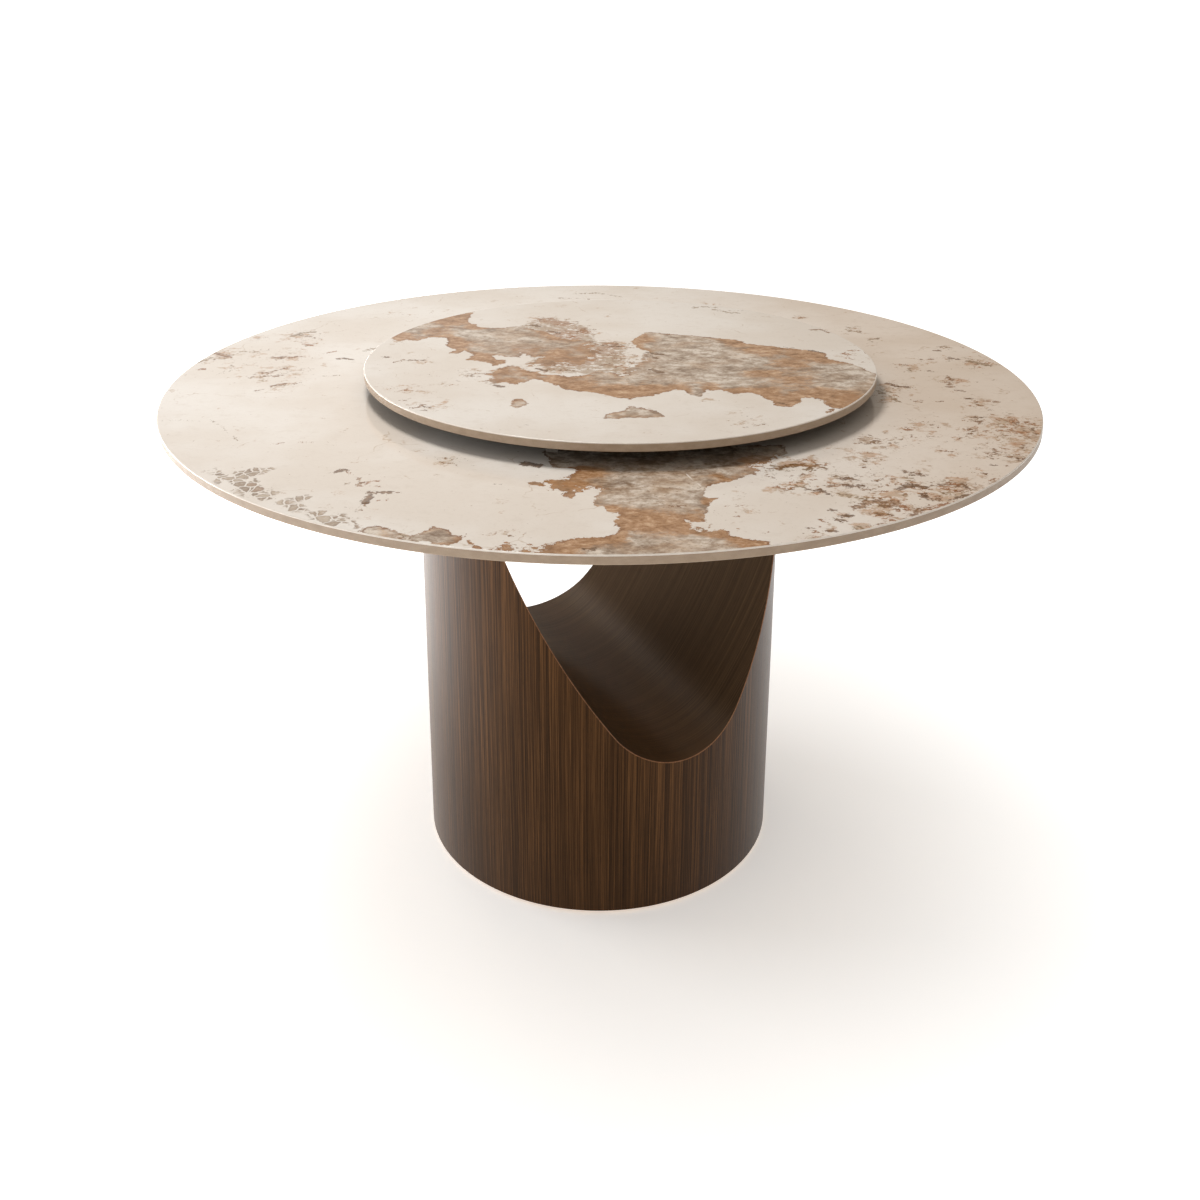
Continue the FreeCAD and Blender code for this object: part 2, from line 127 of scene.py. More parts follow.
TABLE_MARKS = [
    ([(-362,459),(-345,467),(-321,468)],7,0),
    ([(-357,397),(-344,379)],5,2),
    ([(-357,385),(-343,391)],4,0),
    ([(-463,398),(-447,393),(-437,380)],4,0),
    ([(-421,471),(-405,466)],3,0),
    ([(-501,402),(-493,386),(-486,375)],8,1),
    ([(-503,365),(-492,366)],4,0),
    ([(-542,359),(-527,369),(-514,379)],6,0),
    ([(-545,320),(-537,319)],4,2),
    ([(-424,336),(-411,332),(-402,331)],6,1),
    ([(-397,329),(-382,325)],4.5,1),
    ([(-424,325),(-411,321)],3,1),
    ([(-331,283),(-322,282),(-313,273)],4,3),
    ([(-278,312),(-268,319),(-258,320)],5,0),
    ([(-341,328),(-324,331)],2.5,2),
    ([(-482,236),(-464,256),(-450,257),(-433,264),(-423,268)],3.5,1),
    ([(-471,236),(-457,239),(-446,229),(-431,237)],3.5,1),
    ([(-429,246),(-407,246),(-388,242)],2,1),
    ([(-472,256),(-458,247)],3,1),
    ([(-460,181),(-451,186),(-443,185)],6,1),
    ([(-434,175),(-418,183)],3,1),
    ([(-491,169),(-476,169)],2.5,1),
    ([(-495,348),(-494,315),(-502,287)],1.7,0),
    ([(-522,281),(-510,290)],2,1),
    ([(-568,298),(-560,296)],3,0),
    ([(-377,200),(-356,193)],2,0),
    ([(-640,91),(-622,80),(-585,58)],1.2,0),
    ([(-575,62),(-567,15),(-560,-43)],1.3,0),
    ([(-523,-77),(-505,-79),(-439,-109)],1.3,2),
    ([(-477,-217),(-469,-210),(-462,-214)],3,3),
    ([(-463,-217),(-459,-234),(-455,-248)],2,2),
    ([(-455,-248),(-457,-264),(-465,-273)],4,1),
    ([(-476,-252),(-472,-259)],2.5,0),
    ([(-461,-275),(-444,-264),(-433,-269)],2.2,2),
    ([(-453,-276),(-439,-289)],2.2,2),
    ([(-458,-301),(-448,-303),(-437,-310)],3,3),
    ([(-459,-304),(-466,-319),(-472,-328)],4,3),
    ([(-472,-331),(-479,-342),(-485,-348)],4.5,1),
    ([(-460,-328),(-445,-332)],2.5,2),
    ([(-447,-313),(-442,-318)],2,1),
    ([(-428,-314),(-426,-315)],2,1),
    ([(-347,-222),(-343,-238),(-329,-258)],2.5,1),
    ([(-335,-228),(-316,-241)],2,0),
    ([(-311,-341),(-305,-343)],2,3),
    ([(-358,-489),(-350,-493)],3,1),
    ([(-465,-435),(-455,-448)],4,0),
    ([(-468,-445),(-459,-453)],4,1),
    ([(-381,-476),(-356,-480)],1.7,2),
    ([(-252,-289),(-239,-304)],6,3),
    ([(10,-419),(16,-439),(29,-449)],3,1),
    ([(-9,-494),(9,-509)],4,1),
    ([(-4,-458),(5,-472)],2.5,1),
    ([(28,-443),(59,-443)],5,1),
    ([(-95,-607),(-94,-609)],2.5,2),
    ([(-96,-524),(-73,-531)],1.4,2),
    ([(-120,-546),(-99,-556)],1.4,2),
    ([(-296,-562),(-290,-565)],3.5,3),
    ([(-155,-493),(-140,-499)],3,1),
    ([(385,-211),(386,-228),(401,-241)],4.5,3),
    ([(347,-236),(347,-262),(342,-288)],5,0),
    ([(355,-230),(361,-247)],4,0),
    ([(363,-294),(372,-312)],3.5,1),
    ([(467,-145),(479,-146)],3,3),
    ([(466,-158),(455,-182)],4,0),
    ([(484,-181),(489,-186)],3,3),
    ([(601,-81),(610,-92)],5,0),
    ([(575,-96),(579,-100)],3.5,3),
    ([(527,-132),(540,-135)],4,1),
    ([(567,-140),(573,-151)],4,3),
    ([(583,-170),(589,-190),(594,-206)],8,0),
    ([(591,-163),(612,-173)],4,1),
    ([(630,-93),(631,-103)],4,2),
    ([(545,-191),(546,-197)],3,1),
    ([(493,-218),(483,-241),(460,-265),(466,-273)],5,1),
    ([(456,-285),(462,-291)],3,3),
    ([(442,-323),(447,-327)],3,3),
    ([(436,-348),(438,-358)],6,1),
    ([(459,-342),(465,-350),(473,-357)],5,1),
    ([(437,-379),(439,-383)],2.5,3),
    ([(543,-265),(545,-271)],2.5,0),
    ([(394,-394),(402,-401)],3,3),
    ([(391,-401),(380,-420)],5,1),
    ([(350,-430),(352,-439),(337,-448)],5,1),
    ([(305,-460),(329,-452)],4,1),
    ([(380,-384),(388,-389)],2,0),
    ([(302,-375),(308,-380)],3,0),
    ([(271,-393),(279,-397)],4,2),
    ([(311,-390),(316,-397)],3.5,1),
    ([(304,-404),(317,-408)],3,1),
    ([(389,-313),(401,-319)],3,1),
    ([(184,-421),(201,-414),(209,-418)],5,1),
    ([(190,-420),(207,-428)],4,1),
    ([(213,-424),(220,-437)],3,1),
    ([(230,-428),(251,-424),(276,-426),(293,-442),(307,-451)],1.7,1),
    ([(228,-446),(248,-453)],2,1),
    ([(257,-485),(267,-493)],3.5,1),
    ([(30,-435),(39,-446),(56,-447)],6,0),
    ([(62,-446),(70,-454),(82,-460)],8,1),
    ([(22,-448),(38,-459),(67,-466)],5,0),
    ([(29,-475),(46,-477)],4,1),
    ([(24,-483),(49,-500)],3,2),
    ([(-10,-496),(-2,-503),(8,-508)],4.5,2),
    ([(15,-507),(27,-510)],6,0),
    ([(21,-521),(32,-530),(34,-542)],3,3),
    ([(47,-524),(62,-527)],6,1),
    ([(79,-509),(87,-513),(93,-521)],4,3),
    ([(72,-529),(74,-537),(87,-538)],4.5,3),
    ([(48,-553),(55,-559)],5,0),
    ([(76,-498),(81,-502)],4,0),
    ([(75,-550),(92,-555),(109,-553),(122,-553)],2.5,1),
    ([(112,-529),(124,-534),(139,-539)],4,1),
    ([(163,-470),(167,-476)],2,0),
    ([(123,-486),(131,-489)],3,1),
    ([(165,-524),(171,-534),(178,-545)],3.5,3),
    ([(89,-576),(104,-570)],3,2),
    ([(124,-568),(138,-564),(145,-568),(153,-578)],5,3),
    ([(165,-586),(172,-594),(181,-603)],4.5,2),
    ([(188,-582),(201,-592)],4,2),
    ([(218,-550),(224,-556)],2.5,0),
    ([(137,-598),(132,-609),(134,-614)],4,3),
    ([(135,-610),(145,-614)],4,3),
    ([(162,-622),(170,-622),(182,-621)],4,3),
    ([(199,-610),(204,-614)],3,0),
    ([(202,-592),(197,-603)],3,3),
    ([(43,-593),(60,-586),(75,-590),(88,-603)],9,1),
    ([(66,-601),(85,-610)],6,1),
    ([(90,-613),(91,-622),(89,-630)],6,2),
    ([(84,-640),(102,-631),(115,-631)],7,1),
    ([(109,-634),(131,-630),(153,-632)],4.5,2),
    ([(128,-631),(144,-633)],3,2),
    ([(48,-616),(55,-622),(59,-630)],7,1),
    ([(47,-633),(56,-646)],5,2),
    ([(75,-623),(79,-631)],3,2),
    ([(9,-608),(18,-609)],4,3),
    ([(-4,-614),(2,-618)],3.5,3),
    ([(-1,-643),(8,-642),(5,-649)],5,0),
    ([(12,-644),(15,-647)],3,2),
    ([(-56,-636),(-38,-625),(-24,-618)],2.5,2),
    ([(-58,-642),(-44,-641)],2.5,2),
    ([(-31,-637),(-25,-641)],4,3),
    ([(-21,-608),(-18,-613)],3,2),
    ([(8,-585),(10,-589)],2,3),
    ([(244,-566),(254,-574)],3,1),
    ([(239,-594),(253,-594)],4,2),
    ([(295,-563),(300,-566)],3,1),
    ([(282,-555),(284,-557)],2.5,3),
    ([(537,92),(556,87)],5,0),
    ([(524,71),(535,59)],6,0),
    ([(489,194),(506,186)],3,1),
    ([(514,-3),(517,-14)],3,0),
    ([(210,535),(258,521),(281,473)],4,0),
    ([(170,517),(218,484)],3,1),
    ([(517,7),(541,10)],4,0),
]

# zones of small flecks: x, y, radius in mm, density 0..1
TURN_FLECKS = [(-265, 110, 35, 0.50), (-267, 20, 30, 0.35), (-331, -24, 40, 0.55), (-328, -112, 40, 0.50), (-352, 4, 30, 0.45), (-252, -25, 35, 0.30),
               (-254, 220, 25, 0.60), (-210, 2, 30, 0.80), (10, 247, 35, 0.55), (39, 207, 35, 0.60), (46, 154, 30, 0.90), (50, 57, 35, 0.70),
               (19, -5, 35, 0.80), (-2, -68, 30, 0.80), (-92, -25, 30, 0.90), (22, -41, 40, 0.85), (56, 44, 30, 0.80), (358, -158, 35, 0.70),
               (43, -360, 35, 0.40), (42, -266, 20, 0.30)]
TABLE_FLECKS = [(-497, 383, 40, 0.80), (-525, 362, 35, 0.60), (-488, 316, 45, 0.50), (-445, 388, 40, 0.50), (-402, 331, 50, 0.60),
                (-444, 248, 55, 0.70), (-449, 180, 40, 0.55), (-346, 447, 50, 0.70), (-421, 467, 35, 0.40), (-348, 393, 25, 0.50),
                (-402, 248, 35, 0.45), (466, -156, 30, 0.60), (384, -229, 35, 0.70), (341, -267, 35, 0.70), (368, -299, 20, 0.50),
                (531, -134, 40, 0.45), (567, -144, 30, 0.60), (604, -90, 25, 0.60), (588, -184, 45, 0.80), (483, -242, 30, 0.80),
                (457, -287, 15, 0.60), (444, -323, 15, 0.70), (439, -352, 25, 0.70), (468, -347, 30, 0.60), (390, -406, 25, 0.80),
                (349, -437, 25, 0.90), (314, -457, 20, 0.80), (316, -393, 45, 0.50), (305, -376, 20, 0.60), (275, -395, 20, 0.60),
                (270, -426, 40, 0.50), (205, -420, 40, 0.70), (261, -489, 25, 0.50), (419, -443, 60, 0.85), (412, -473, 50, 0.90),
                (376, -466, 50, 0.75), (318, -521, 35, 0.90), (334, -539, 30, 0.90), (358, -515, 35, 0.80), (170, -531, 30, 0.60),
                (126, -532, 35, 0.70), (140, -570, 40, 0.85), (177, -592, 40, 0.95), (198, -585, 30, 0.90), (99, -575, 30, 0.80),
                (140, -608, 30, 0.80), (250, -570, 25, 0.70), (241, -597, 20, 0.70), (149, -469, 60, 0.50), (71, -453, 35, 0.95),
                (38, -437, 25, 0.70), (6, -445, 30, 0.60), (41, -484, 30, 0.70), (0, -503, 25, 0.90), (23, -503, 20, 0.90), (77, -502, 20, 0.70),
                (86, -517, 25, 0.80), (77, -535, 25, 0.80), (56, -524, 20, 0.80), (31, -529, 25, 0.75), (50, -559, 15, 0.70), (125, -536, 30, 0.70),
                (111, -551, 30, 0.70), (136, -569, 30, 0.85), (72, -595, 40, 1.00), (57, -593, 25, 0.90), (55, -622, 25, 0.90), (91, -620, 30, 0.90),
                (52, -640, 25, 0.80), (13, -609, 12, 0.90), (-1, -616, 12, 0.80), (-19, -610, 15, 0.70), (-43, -631, 25, 0.70), (-27, -638, 10, 0.80),
                (6, -643, 15, 0.90), (15, -645, 8, 0.90), (-96, -539, 25, 0.40), (-60, -495, 25, 0.30), (195, -421, 40, 0.60), (130, -487, 25, 0.60),
                (-335, -236, 25, 0.60), (-356, -488, 20, 0.70), (377, 323, 35, 0.80), (389, 286, 35, 0.80), (500, 188, 25, 0.50), (476, 87, 35, 0.60),
                (534, 73, 30, 0.70), (516, -11, 20, 0.50), (-140, 513, 40, 0.30)]
# how rusty a place is: x, y, radius in mm, weight
TURN_RUST = [(-131, 301, 35, 0.80), (-82, 331, 30, 0.90), (-242, 238, 30, 0.90), (-109, 253, 25, 0.80), (-169, 197, 25, 0.80), (-183, 146, 25, 0.90),
             (-171, 86, 30, 0.90), (-161, 49, 25, 0.90), (-144, 41, 15, 0.90), (46, 154, 25, 0.95), (12, 122, 20, 0.90), (-49, 49, 35, 0.80),
             (-85, 2, 25, 0.70), (-8, 7, 25, 0.60), (-126, -38, 25, 0.80), (-97, -119, 40, 0.85), (-76, -165, 40, 0.90), (-52, -177, 40, 0.90),
             (50, 57, 25, 0.80), (-173, -54, 25, 0.60), (-165, -9, 30, 0.55), (105, 69, 35, 0.95), (-45, -169, 40, 0.95), (-9, -177, 35, 0.85),
             (29, -186, 30, 0.70), (77, -199, 25, 0.70), (238, -20, 35, 0.85), (250, -84, 45, 0.80), (292, -115, 40, 0.90), (306, -156, 30, 0.90),
             (235, -154, 50, 0.65), (176, -168, 50, 0.55), (192, -236, 50, 0.60), (125, -260, 35, 0.85), (129, -308, 35, 0.95), (165, -298, 30, 0.90),
             (193, -339, 35, 0.95), (197, -286, 35, 0.80), (224, -317, 25, 0.80), (100, -239, 25, 0.70), (358, -158, 35, 0.80),
             (-240, 250, 40, 0.90), (-166, 261, 50, 0.70), (-100, 319, 45, 0.90), (-176, 163, 40, 0.75), (-1, 147, 45, 0.70), (17, 37, 50, 0.60),
             (-42, 3, 45, 0.80), (17, 247, 35, 0.70), (-107, -82, 40, 0.80), (40, 215, 30, 0.80)]
TABLE_RUST = [(-234, -375, 25, 0.95), (-237, -410, 15, 0.90), (-194, -356, 25, 0.80), (-215, -500, 30, 1.00), (-202, -531, 40, 1.00),
              (-176, -544, 30, 0.95), (-169, -559, 20, 0.90), (-145, -575, 25, 0.90), (-257, -536, 30, 0.95), (-296, -540, 30, 0.95),
              (-324, -534, 30, 0.90), (-320, -551, 40, 0.80), (-359, -532, 25, 0.70), (-372, -511, 20, 0.95), (-122, -629, 25, 0.95),
              (-135, -619, 20, 0.60), (-107, -501, 12, 0.70), (-218, -473, 12, 0.80), (-399, -498, 20, 0.70), (-52, -434, 20, 0.50),
              (419, -443, 70, 0.70), (409, -477, 60, 0.75), (337, -530, 50, 0.70), (186, -592, 50, 0.90), (97, -575, 40, 0.60), (72, -595, 45, 0.70),
              (55, -622, 35, 0.80), (71, -453, 35, 0.60), (41, -487, 30, 0.80), (0, -500, 20, 0.70), (91, -620, 30, 0.80), (-113, -633, 30, 1.00)]
# where a patch breaks up into lace: x, y, radius in mm, weight
TURN_LACE = [(-53, -3, 40, 1.00), (17, 50, 40, 1.00), (-85, 88, 30, 0.90), (-95, -13, 30, 1.00), (55, 174, 30, 0.90), (-200, -22, 30, 0.80),
             (14, -3, 40, 1.00), (11, -54, 40, 0.80), (48, -31, 35, 0.80), (223, -335, 25, 0.90), (13, -58, 40, 0.90)]
TABLE_LACE = [(-238, -382, 30, 0.80), (15, -417, 40, 0.70), (-354, -535, 30, 0.80), (-153, -571, 20, 0.60), (-366, -506, 20, 0.50),
              (401, -462, 80, 0.90), (330, -527, 50, 0.90)]
TABLE_CRACKS = [([(-85, -408), (-87, -427), (-89, -443), (-89, -459)], 1.1)]
TURN_CRACKS = []
TURN_SHARDS = [[(-21, 236), (12, 266), (43, 264), (52, 220), (63, 183), (56, 136), (42, 89), (65, 67), (58, 31), (-16, -111), (-40, -109), (-58, -90), (-76, -63), (-97, -42), (-112, -15), (-109, 24), (-82, 54), (-85, 88), (-62, 169)]]


def seg_dist(p, a, b):
    ab = b - a
    t = np.clip(((p - a) @ ab) / max(float(ab @ ab), 1e-9), 0.0, 1.0)
    return np.hypot(*(p - a - t[:, None] * ab).T)


def poly_inside(p, poly):
    """Signed distance to an outline in mm, positive inside."""
    q = np.array(poly, float)
    d = np.full(len(p), 1e9)
    inside = np.zeros(len(p), bool)
    for a, b in zip(q, np.roll(q, -1, axis=0)):
        d = np.minimum(d, seg_dist(p, a, b))
        if a[1] != b[1]:
            cross = (p[:, 1] < a[1]) != (p[:, 1] < b[1])
            x = a[0] + (p[:, 1] - a[1]) * (b[0] - a[0]) / (b[1] - a[1])
            inside ^= cross & (p[:, 0] < x)
    return np.where(inside, d, -d)


def blobs(p, items):
    v = np.zeros(len(p))
    for x, y, r, w in items:
        v = np.maximum(v, w * np.exp(-((p[:, 0] - x) ** 2 + (p[:, 1] - y) ** 2) / (r * r)))
    return v


def figure(p, solid, soft, pebble, marks, flecks, rust, lace, cracks):
    """Four vectors a point: patch, rust, pebble / grey, brown, rust marks / dark marks, flecks, soft patch / lace, crack."""
    n = len(p)
    f = np.zeros((4, n, 3))

    def most(polys, low):
        v = np.full(n, low)
        for q in polys:
            v = np.maximum(v, poly_inside(p, q))
        return np.clip(v, low, 60.0)

    f[0, :, 0] = most(solid, -60.0)
    f[0, :, 1] = blobs(p, rust)
    f[0, :, 2] = most(pebble, -60.0)
    kinds = np.full((4, n), -30.0)
    for pts, w, k in marks:
        q = np.array(pts, float)
        near = (p[:, 0] > q[:, 0].min() - 30) & (p[:, 0] < q[:, 0].max() + 30) & (p[:, 1] > q[:, 1].min() - 30) & (p[:, 1] < q[:, 1].max() + 30)
        if not near.any():
            continue
        d = np.full(int(near.sum()), 1e9)
        for a, b in zip(q[:-1], q[1:]):
            d = np.minimum(d, seg_dist(p[near], a, b))
        kinds[k, near] = np.maximum(kinds[k, near], w - d)
    f[1] = kinds[:3].T
    f[2, :, 0] = kinds[3]
    f[2, :, 1] = blobs(p, flecks)
    f[2, :, 2] = most(soft, -60.0)
    f[3, :, 0] = blobs(p, lace)
    f[3, :, 1] = -30.0
    for pts, w in cracks:
        q = np.array(pts, float)
        for a, b in zip(q[:-1], q[1:]):
            f[3, :, 1] = np.maximum(f[3, :, 1], w - seg_dist(p, a, b))
    return f


# ------------------------------------------------------------------ node helpers
def lin(r, g, b):
    out = []
    for c in (r, g, b):
        c = c / 255.0
        out.append(c / 12.92 if c <= 0.04045 else ((c + 0.055) / 1.055) ** 2.4)
    return (*out, 1.0)


class Nodes:
    def __init__(self, name):
        self.m = bpy.data.materials.new(name)
        self.m.use_nodes = True
        self.t = self.m.node_tree
        self.t.nodes.clear()
        self.out = self.t.nodes.new("ShaderNodeOutputMaterial")
        self.bsdf = self.t.nodes.new("ShaderNodeBsdfPrincipled")
        self.t.links.new(self.bsdf.outputs[0], self.out.inputs[0])

    def put(self, socket, v):
        if isinstance(v, bpy.types.NodeSocket):
            self.t.links.new(v, socket)
        else:
            socket.default_value = v

    def set(self, **kw):
        for k, v in kw.items():
            self.put(self.bsdf.inputs[k.replace("_", " ")], v)

    def math(self, op, a, b=None, c=None, clamp=False):
        n = self.t.nodes.new("ShaderNodeMath")
        n.operation = op
        n.use_clamp = clamp
        self.put(n.inputs[0], a)
        if b is not None:
            self.put(n.inputs[1], b)
        if c is not None:
            self.put(n.inputs[2], c)
        return n.outputs[0]

    def madd(self, a, k, c):
        return self.math("MULTIPLY_ADD", a, k, c)

    def step(self, v, a, b, c=0.0, d=1.0, smooth=True):
        n = self.t.nodes.new("ShaderNodeMapRange")
        n.interpolation_type = "SMOOTHSTEP" if smooth else "LINEAR"
        n.clamp = True
        for i, x in enumerate((v, a, b, c, d)):
            self.put(n.inputs[i], x)
        return n.outputs[0]

    def mix(self, fac, a, b, blend="MIX"):
        n = self.t.nodes.new("ShaderNodeMix")
        n.data_type = "RGBA"
        n.blend_type = blend
        self.put(n.inputs[0], fac)
        self.put(n.inputs[6], a)
        self.put(n.inputs[7], b)
        return n.outputs[2]

    def ramp(self, fac, stops):
        n = self.t.nodes.new("ShaderNodeValToRGB")
        e = n.color_ramp.elements
        e[0].position, e[0].color = stops[0]
        e[1].position, e[1].color = stops[-1]
        for pos, col in stops[1:-1]:
            x = e.new(pos)
            x.color = col
        self.put(n.inputs[0], fac)
        return n.outputs[0]

    def mapping(self, vec, loc=(0, 0, 0), rot=(0, 0, 0), scale=(1, 1, 1)):
        n = self.t.nodes.new("ShaderNodeMapping")
        self.put(n.inputs[0], vec)
        n.inputs[1].default_value = loc
        n.inputs[2].default_value = rot
        n.inputs[3].default_value = scale
        return n.outputs[0]

    def noise(self, vec, scale, detail=4.0, rough=0.6, distort=0.0, col=False):
        n = self.t.nodes.new("ShaderNodeTexNoise")
        self.put(n.inputs["Vector"], vec)
        n.inputs["Scale"].default_value = scale
        n.inputs["Detail"].default_value = detail
        n.inputs["Roughness"].default_value = rough
        n.inputs["Distortion"].default_value = distort
        return n.outputs["Color" if col else "Fac"]

    def voronoi(self, vec, scale, feature, randomness=1.0):
        n = self.t.nodes.new("ShaderNodeTexVoronoi")
        n.feature = feature
        self.put(n.inputs["Vector"], vec)
        n.inputs["Scale"].default_value = scale
        n.inputs["Randomness"].default_value = randomness
        return n.outputs

    def split(self, vec):
        n = self.t.nodes.new("ShaderNodeSeparateXYZ")
        self.put(n.inputs[0], vec)
        return n.outputs

    def vmath(self, op, a, b=None, scale=None):
        n = self.t.nodes.new("ShaderNodeVectorMath")
        n.operation = op
        self.put(n.inputs[0], a)
        if b is not None:
            self.put(n.inputs[1], b)
        if scale is not None:
            self.put(n.inputs["Scale"], scale)
        return n.outputs[0]

    def attr(self, name):
        n = self.t.nodes.new("ShaderNodeAttribute")
        n.attribute_name = name
        return n.outputs["Vector"]

    def uv(self, name):
        n = self.t.nodes.new("ShaderNodeUVMap")
        n.uv_map = name
        return n.outputs[0]

    def obj(self):
        return self.t.nodes.new("ShaderNodeTexCoord").outputs["Object"]

    def bump(self, height, strength, distance=0.001):
        n = self.t.nodes.new("ShaderNodeBump")
        n.inputs["Strength"].default_value = strength
        n.inputs["Distance"].default_value = distance
        self.put(n.inputs["Height"], height)
        self.put(self.bsdf.inputs["Normal"], n.outputs[0])


# ------------------------------------------------------------------ stone
def stone(name, shift, full=12.0, gain=1.17, tone_and_shade_to_right=False):
    k = Nodes(name)
    vec = k.mapping(k.obj(), loc=shift, rot=(0, 0, VIEW))
    a = k.split(k.attr("figure_a"))
    b = k.split(k.attr("figure_b"))
    c = k.split(k.attr("figure_c"))
    e = k.split(k.attr("figure_d"))

    def field(scale, detail, rough, dx=0.0, dy=0.0, flat=1.0, distort=0.0):
        return k.noise(k.mapping(vec, loc=(dx, dy, 0.0), scale=(1.0, flat, 1.0)), scale, detail, rough, distort)

    big = field(5.0, 3.0, 0.55)
    mid = field(42.0, 4.0, 0.6)
    fine = field(150.0, 5.0, 0.65)
    micro = field(560.0, 3.0, 0.6)
    veil = field(46.0, 8.0, 0.70, 1.3, 4.1, 1.3, 0.3)
    wisp = field(105.0, 6.0, 0.70, 3.1, 1.7, 1.4, 0.3)
    hue = field(14.0, 6.0, 0.62, 7.3, 2.9, 1.0, 0.4)
    frag = field(70.0, 8.0, 0.72, 11.0, 5.0, 1.2, 0.2)
    grain = field(210.0, 4.0, 0.65, 2.0, 8.0, 1.2)
    tone = field(24.0, 4.0, 0.6, 1.0, 9.0)
    cloud = field(16.0, 4.0, 0.58, 5.5, 0.7, 1.2, 0.3)
    smear = field(34.0, 6.0, 0.66, 9.1, 3.3, 1.1, 0.3)

    def over(v, limit, edge):
        return k.step(k.math("SUBTRACT", v, limit), 0.0, edge)

    def off(v):
        return k.math("SUBTRACT", v, 0.5)

    # ground: warm cream, clouded, with faint hairlines
    ground = k.mix(k.step(big, 0.35, 0.65), lin(213, 205, 196), lin(205, 194, 182))
    ground = k.mix(k.step(veil, 0.50, 0.70, 0.0, 0.42), ground, lin(196, 184, 171))
    ground = k.mix(k.step(grain, 0.50, 0.72, 0.0, 0.12), ground, lin(178, 160, 143))
    warp = k.vmath("ADD", vec, k.vmath("SCALE", k.noise(vec, 9.0, 4.0, 0.6, col=True), scale=0.12))
    hair = k.voronoi(warp, 4.2, "DISTANCE_TO_EDGE")["Distance"]
    hair = k.math("MULTIPLY", k.step(hair, 0.0, 0.006, 1.0, 0.0), k.step(hue, 0.50, 0.60, 0.0, 0.55))
    ground = k.mix(hair, ground, lin(168, 144, 118))

    # flecks, denser in their zones, and the single marks that break up into flecks
    zone = k.math("MULTIPLY", c[1], k.step(mid, 0.30, 0.62, 0.70, 1.12))
    fleck_col = k.ramp(tone, [(0.36, lin(140, 116, 82)), (0.44, lin(152, 110, 70)), (0.50, lin(164, 106, 56)), (0.56, lin(142, 114, 86)), (0.64, lin(112, 78, 48))])
    fleck_col = k.mix(k.step(grain, 0.46, 0.68, 0.0, 0.55), fleck_col, lin(66, 44, 26))
    faint = over(k.madd(grain, 0.25, k.math("MULTIPLY", smear, 0.75)), k.madd(zone, -0.185, 0.605), 0.08)
    col = k.mix(k.math("MULTIPLY", faint, 0.62), ground, k.mix(0.42, fleck_col, lin(190, 158, 124)))
    fleck = over(k.madd(grain, 0.40, k.math("MULTIPLY", frag, 0.60)), k.madd(zone, -0.155, 0.635), 0.03)
    col = k.mix(k.math("MULTIPLY", fleck, 0.80), col, fleck_col)
    speck = over(grain, k.madd(zone, -0.13, 0.745), 0.02)
    col = k.mix(k.math("MULTIPLY", speck, 0.70), col, lin(82, 58, 40))

    # brown-grey clouds that come apart in streaks
    sd = k.step(c[2], -24.0, full, 0.0, 1.0, False)
    soft = over(k.madd(wisp, 0.5, k.math("MULTIPLY", frag, 0.5)), k.madd(sd, -0.22, 0.655), 0.05)
    soft_col = k.mix(k.step(k.madd(hue, 0.6, a[1]), 0.45, 1.0), lin(158, 134, 108), lin(148, 104, 68))
    soft_col = k.mix(k.step(grain, 0.42, 0.66, 0.0, 0.55), soft_col, lin(98, 68, 45))
    col = k.mix(k.math("MULTIPLY", soft, k.step(veil, 0.3, 0.7, 0.55, 0.92)), col, soft_col)

    # pebble mosaic with pale joints
    pw = k.vmath("ADD", k.mapping(vec, scale=(1.0, 0.85, 1.0)), k.vmath("SCALE", k.noise(vec, 60.0, 3.0, 0.55, col=True), scale=0.012))
    cell_d = k.voronoi(pw, 72.0, "DISTANCE_TO_EDGE")["Distance"]
    cell_c = k.split(k.voronoi(pw, 72.0, "F1")["Color"])
    pz = k.math("ADD", k.madd(off(mid), 30.0, k.math("MULTIPLY", off(fine), 14.0)), a[2])
    cell = k.math("MULTIPLY", k.step(k.madd(off(fine), 0.10, cell_d), 0.03, 0.10), k.step(pz, -2.0, 4.0))
    cell = k.math("MULTIPLY", cell, k.step(k.madd(k.step(pz, 0.0, 30.0), 0.6, cell_c[0]), 0.22, 0.36))
    cell_col = k.ramp(cell_c[1], [(0.0, lin(126, 104, 82)), (0.4, lin(152, 131, 109)), (0.7, lin(174, 156, 136)), (1.0, lin(138, 108, 82))])
    cell_col = k.mix(k.step(cell_d, 0.08, 0.26, 0.40, 0.0), cell_col, lin(88, 66, 48))
    cell_col = k.mix(k.step(grain, 0.45, 0.66, 0.0, 0.35), cell_col, lin(196, 184, 170))
    col = k.mix(k.math("MULTIPLY", cell, 0.88), col, cell_col)

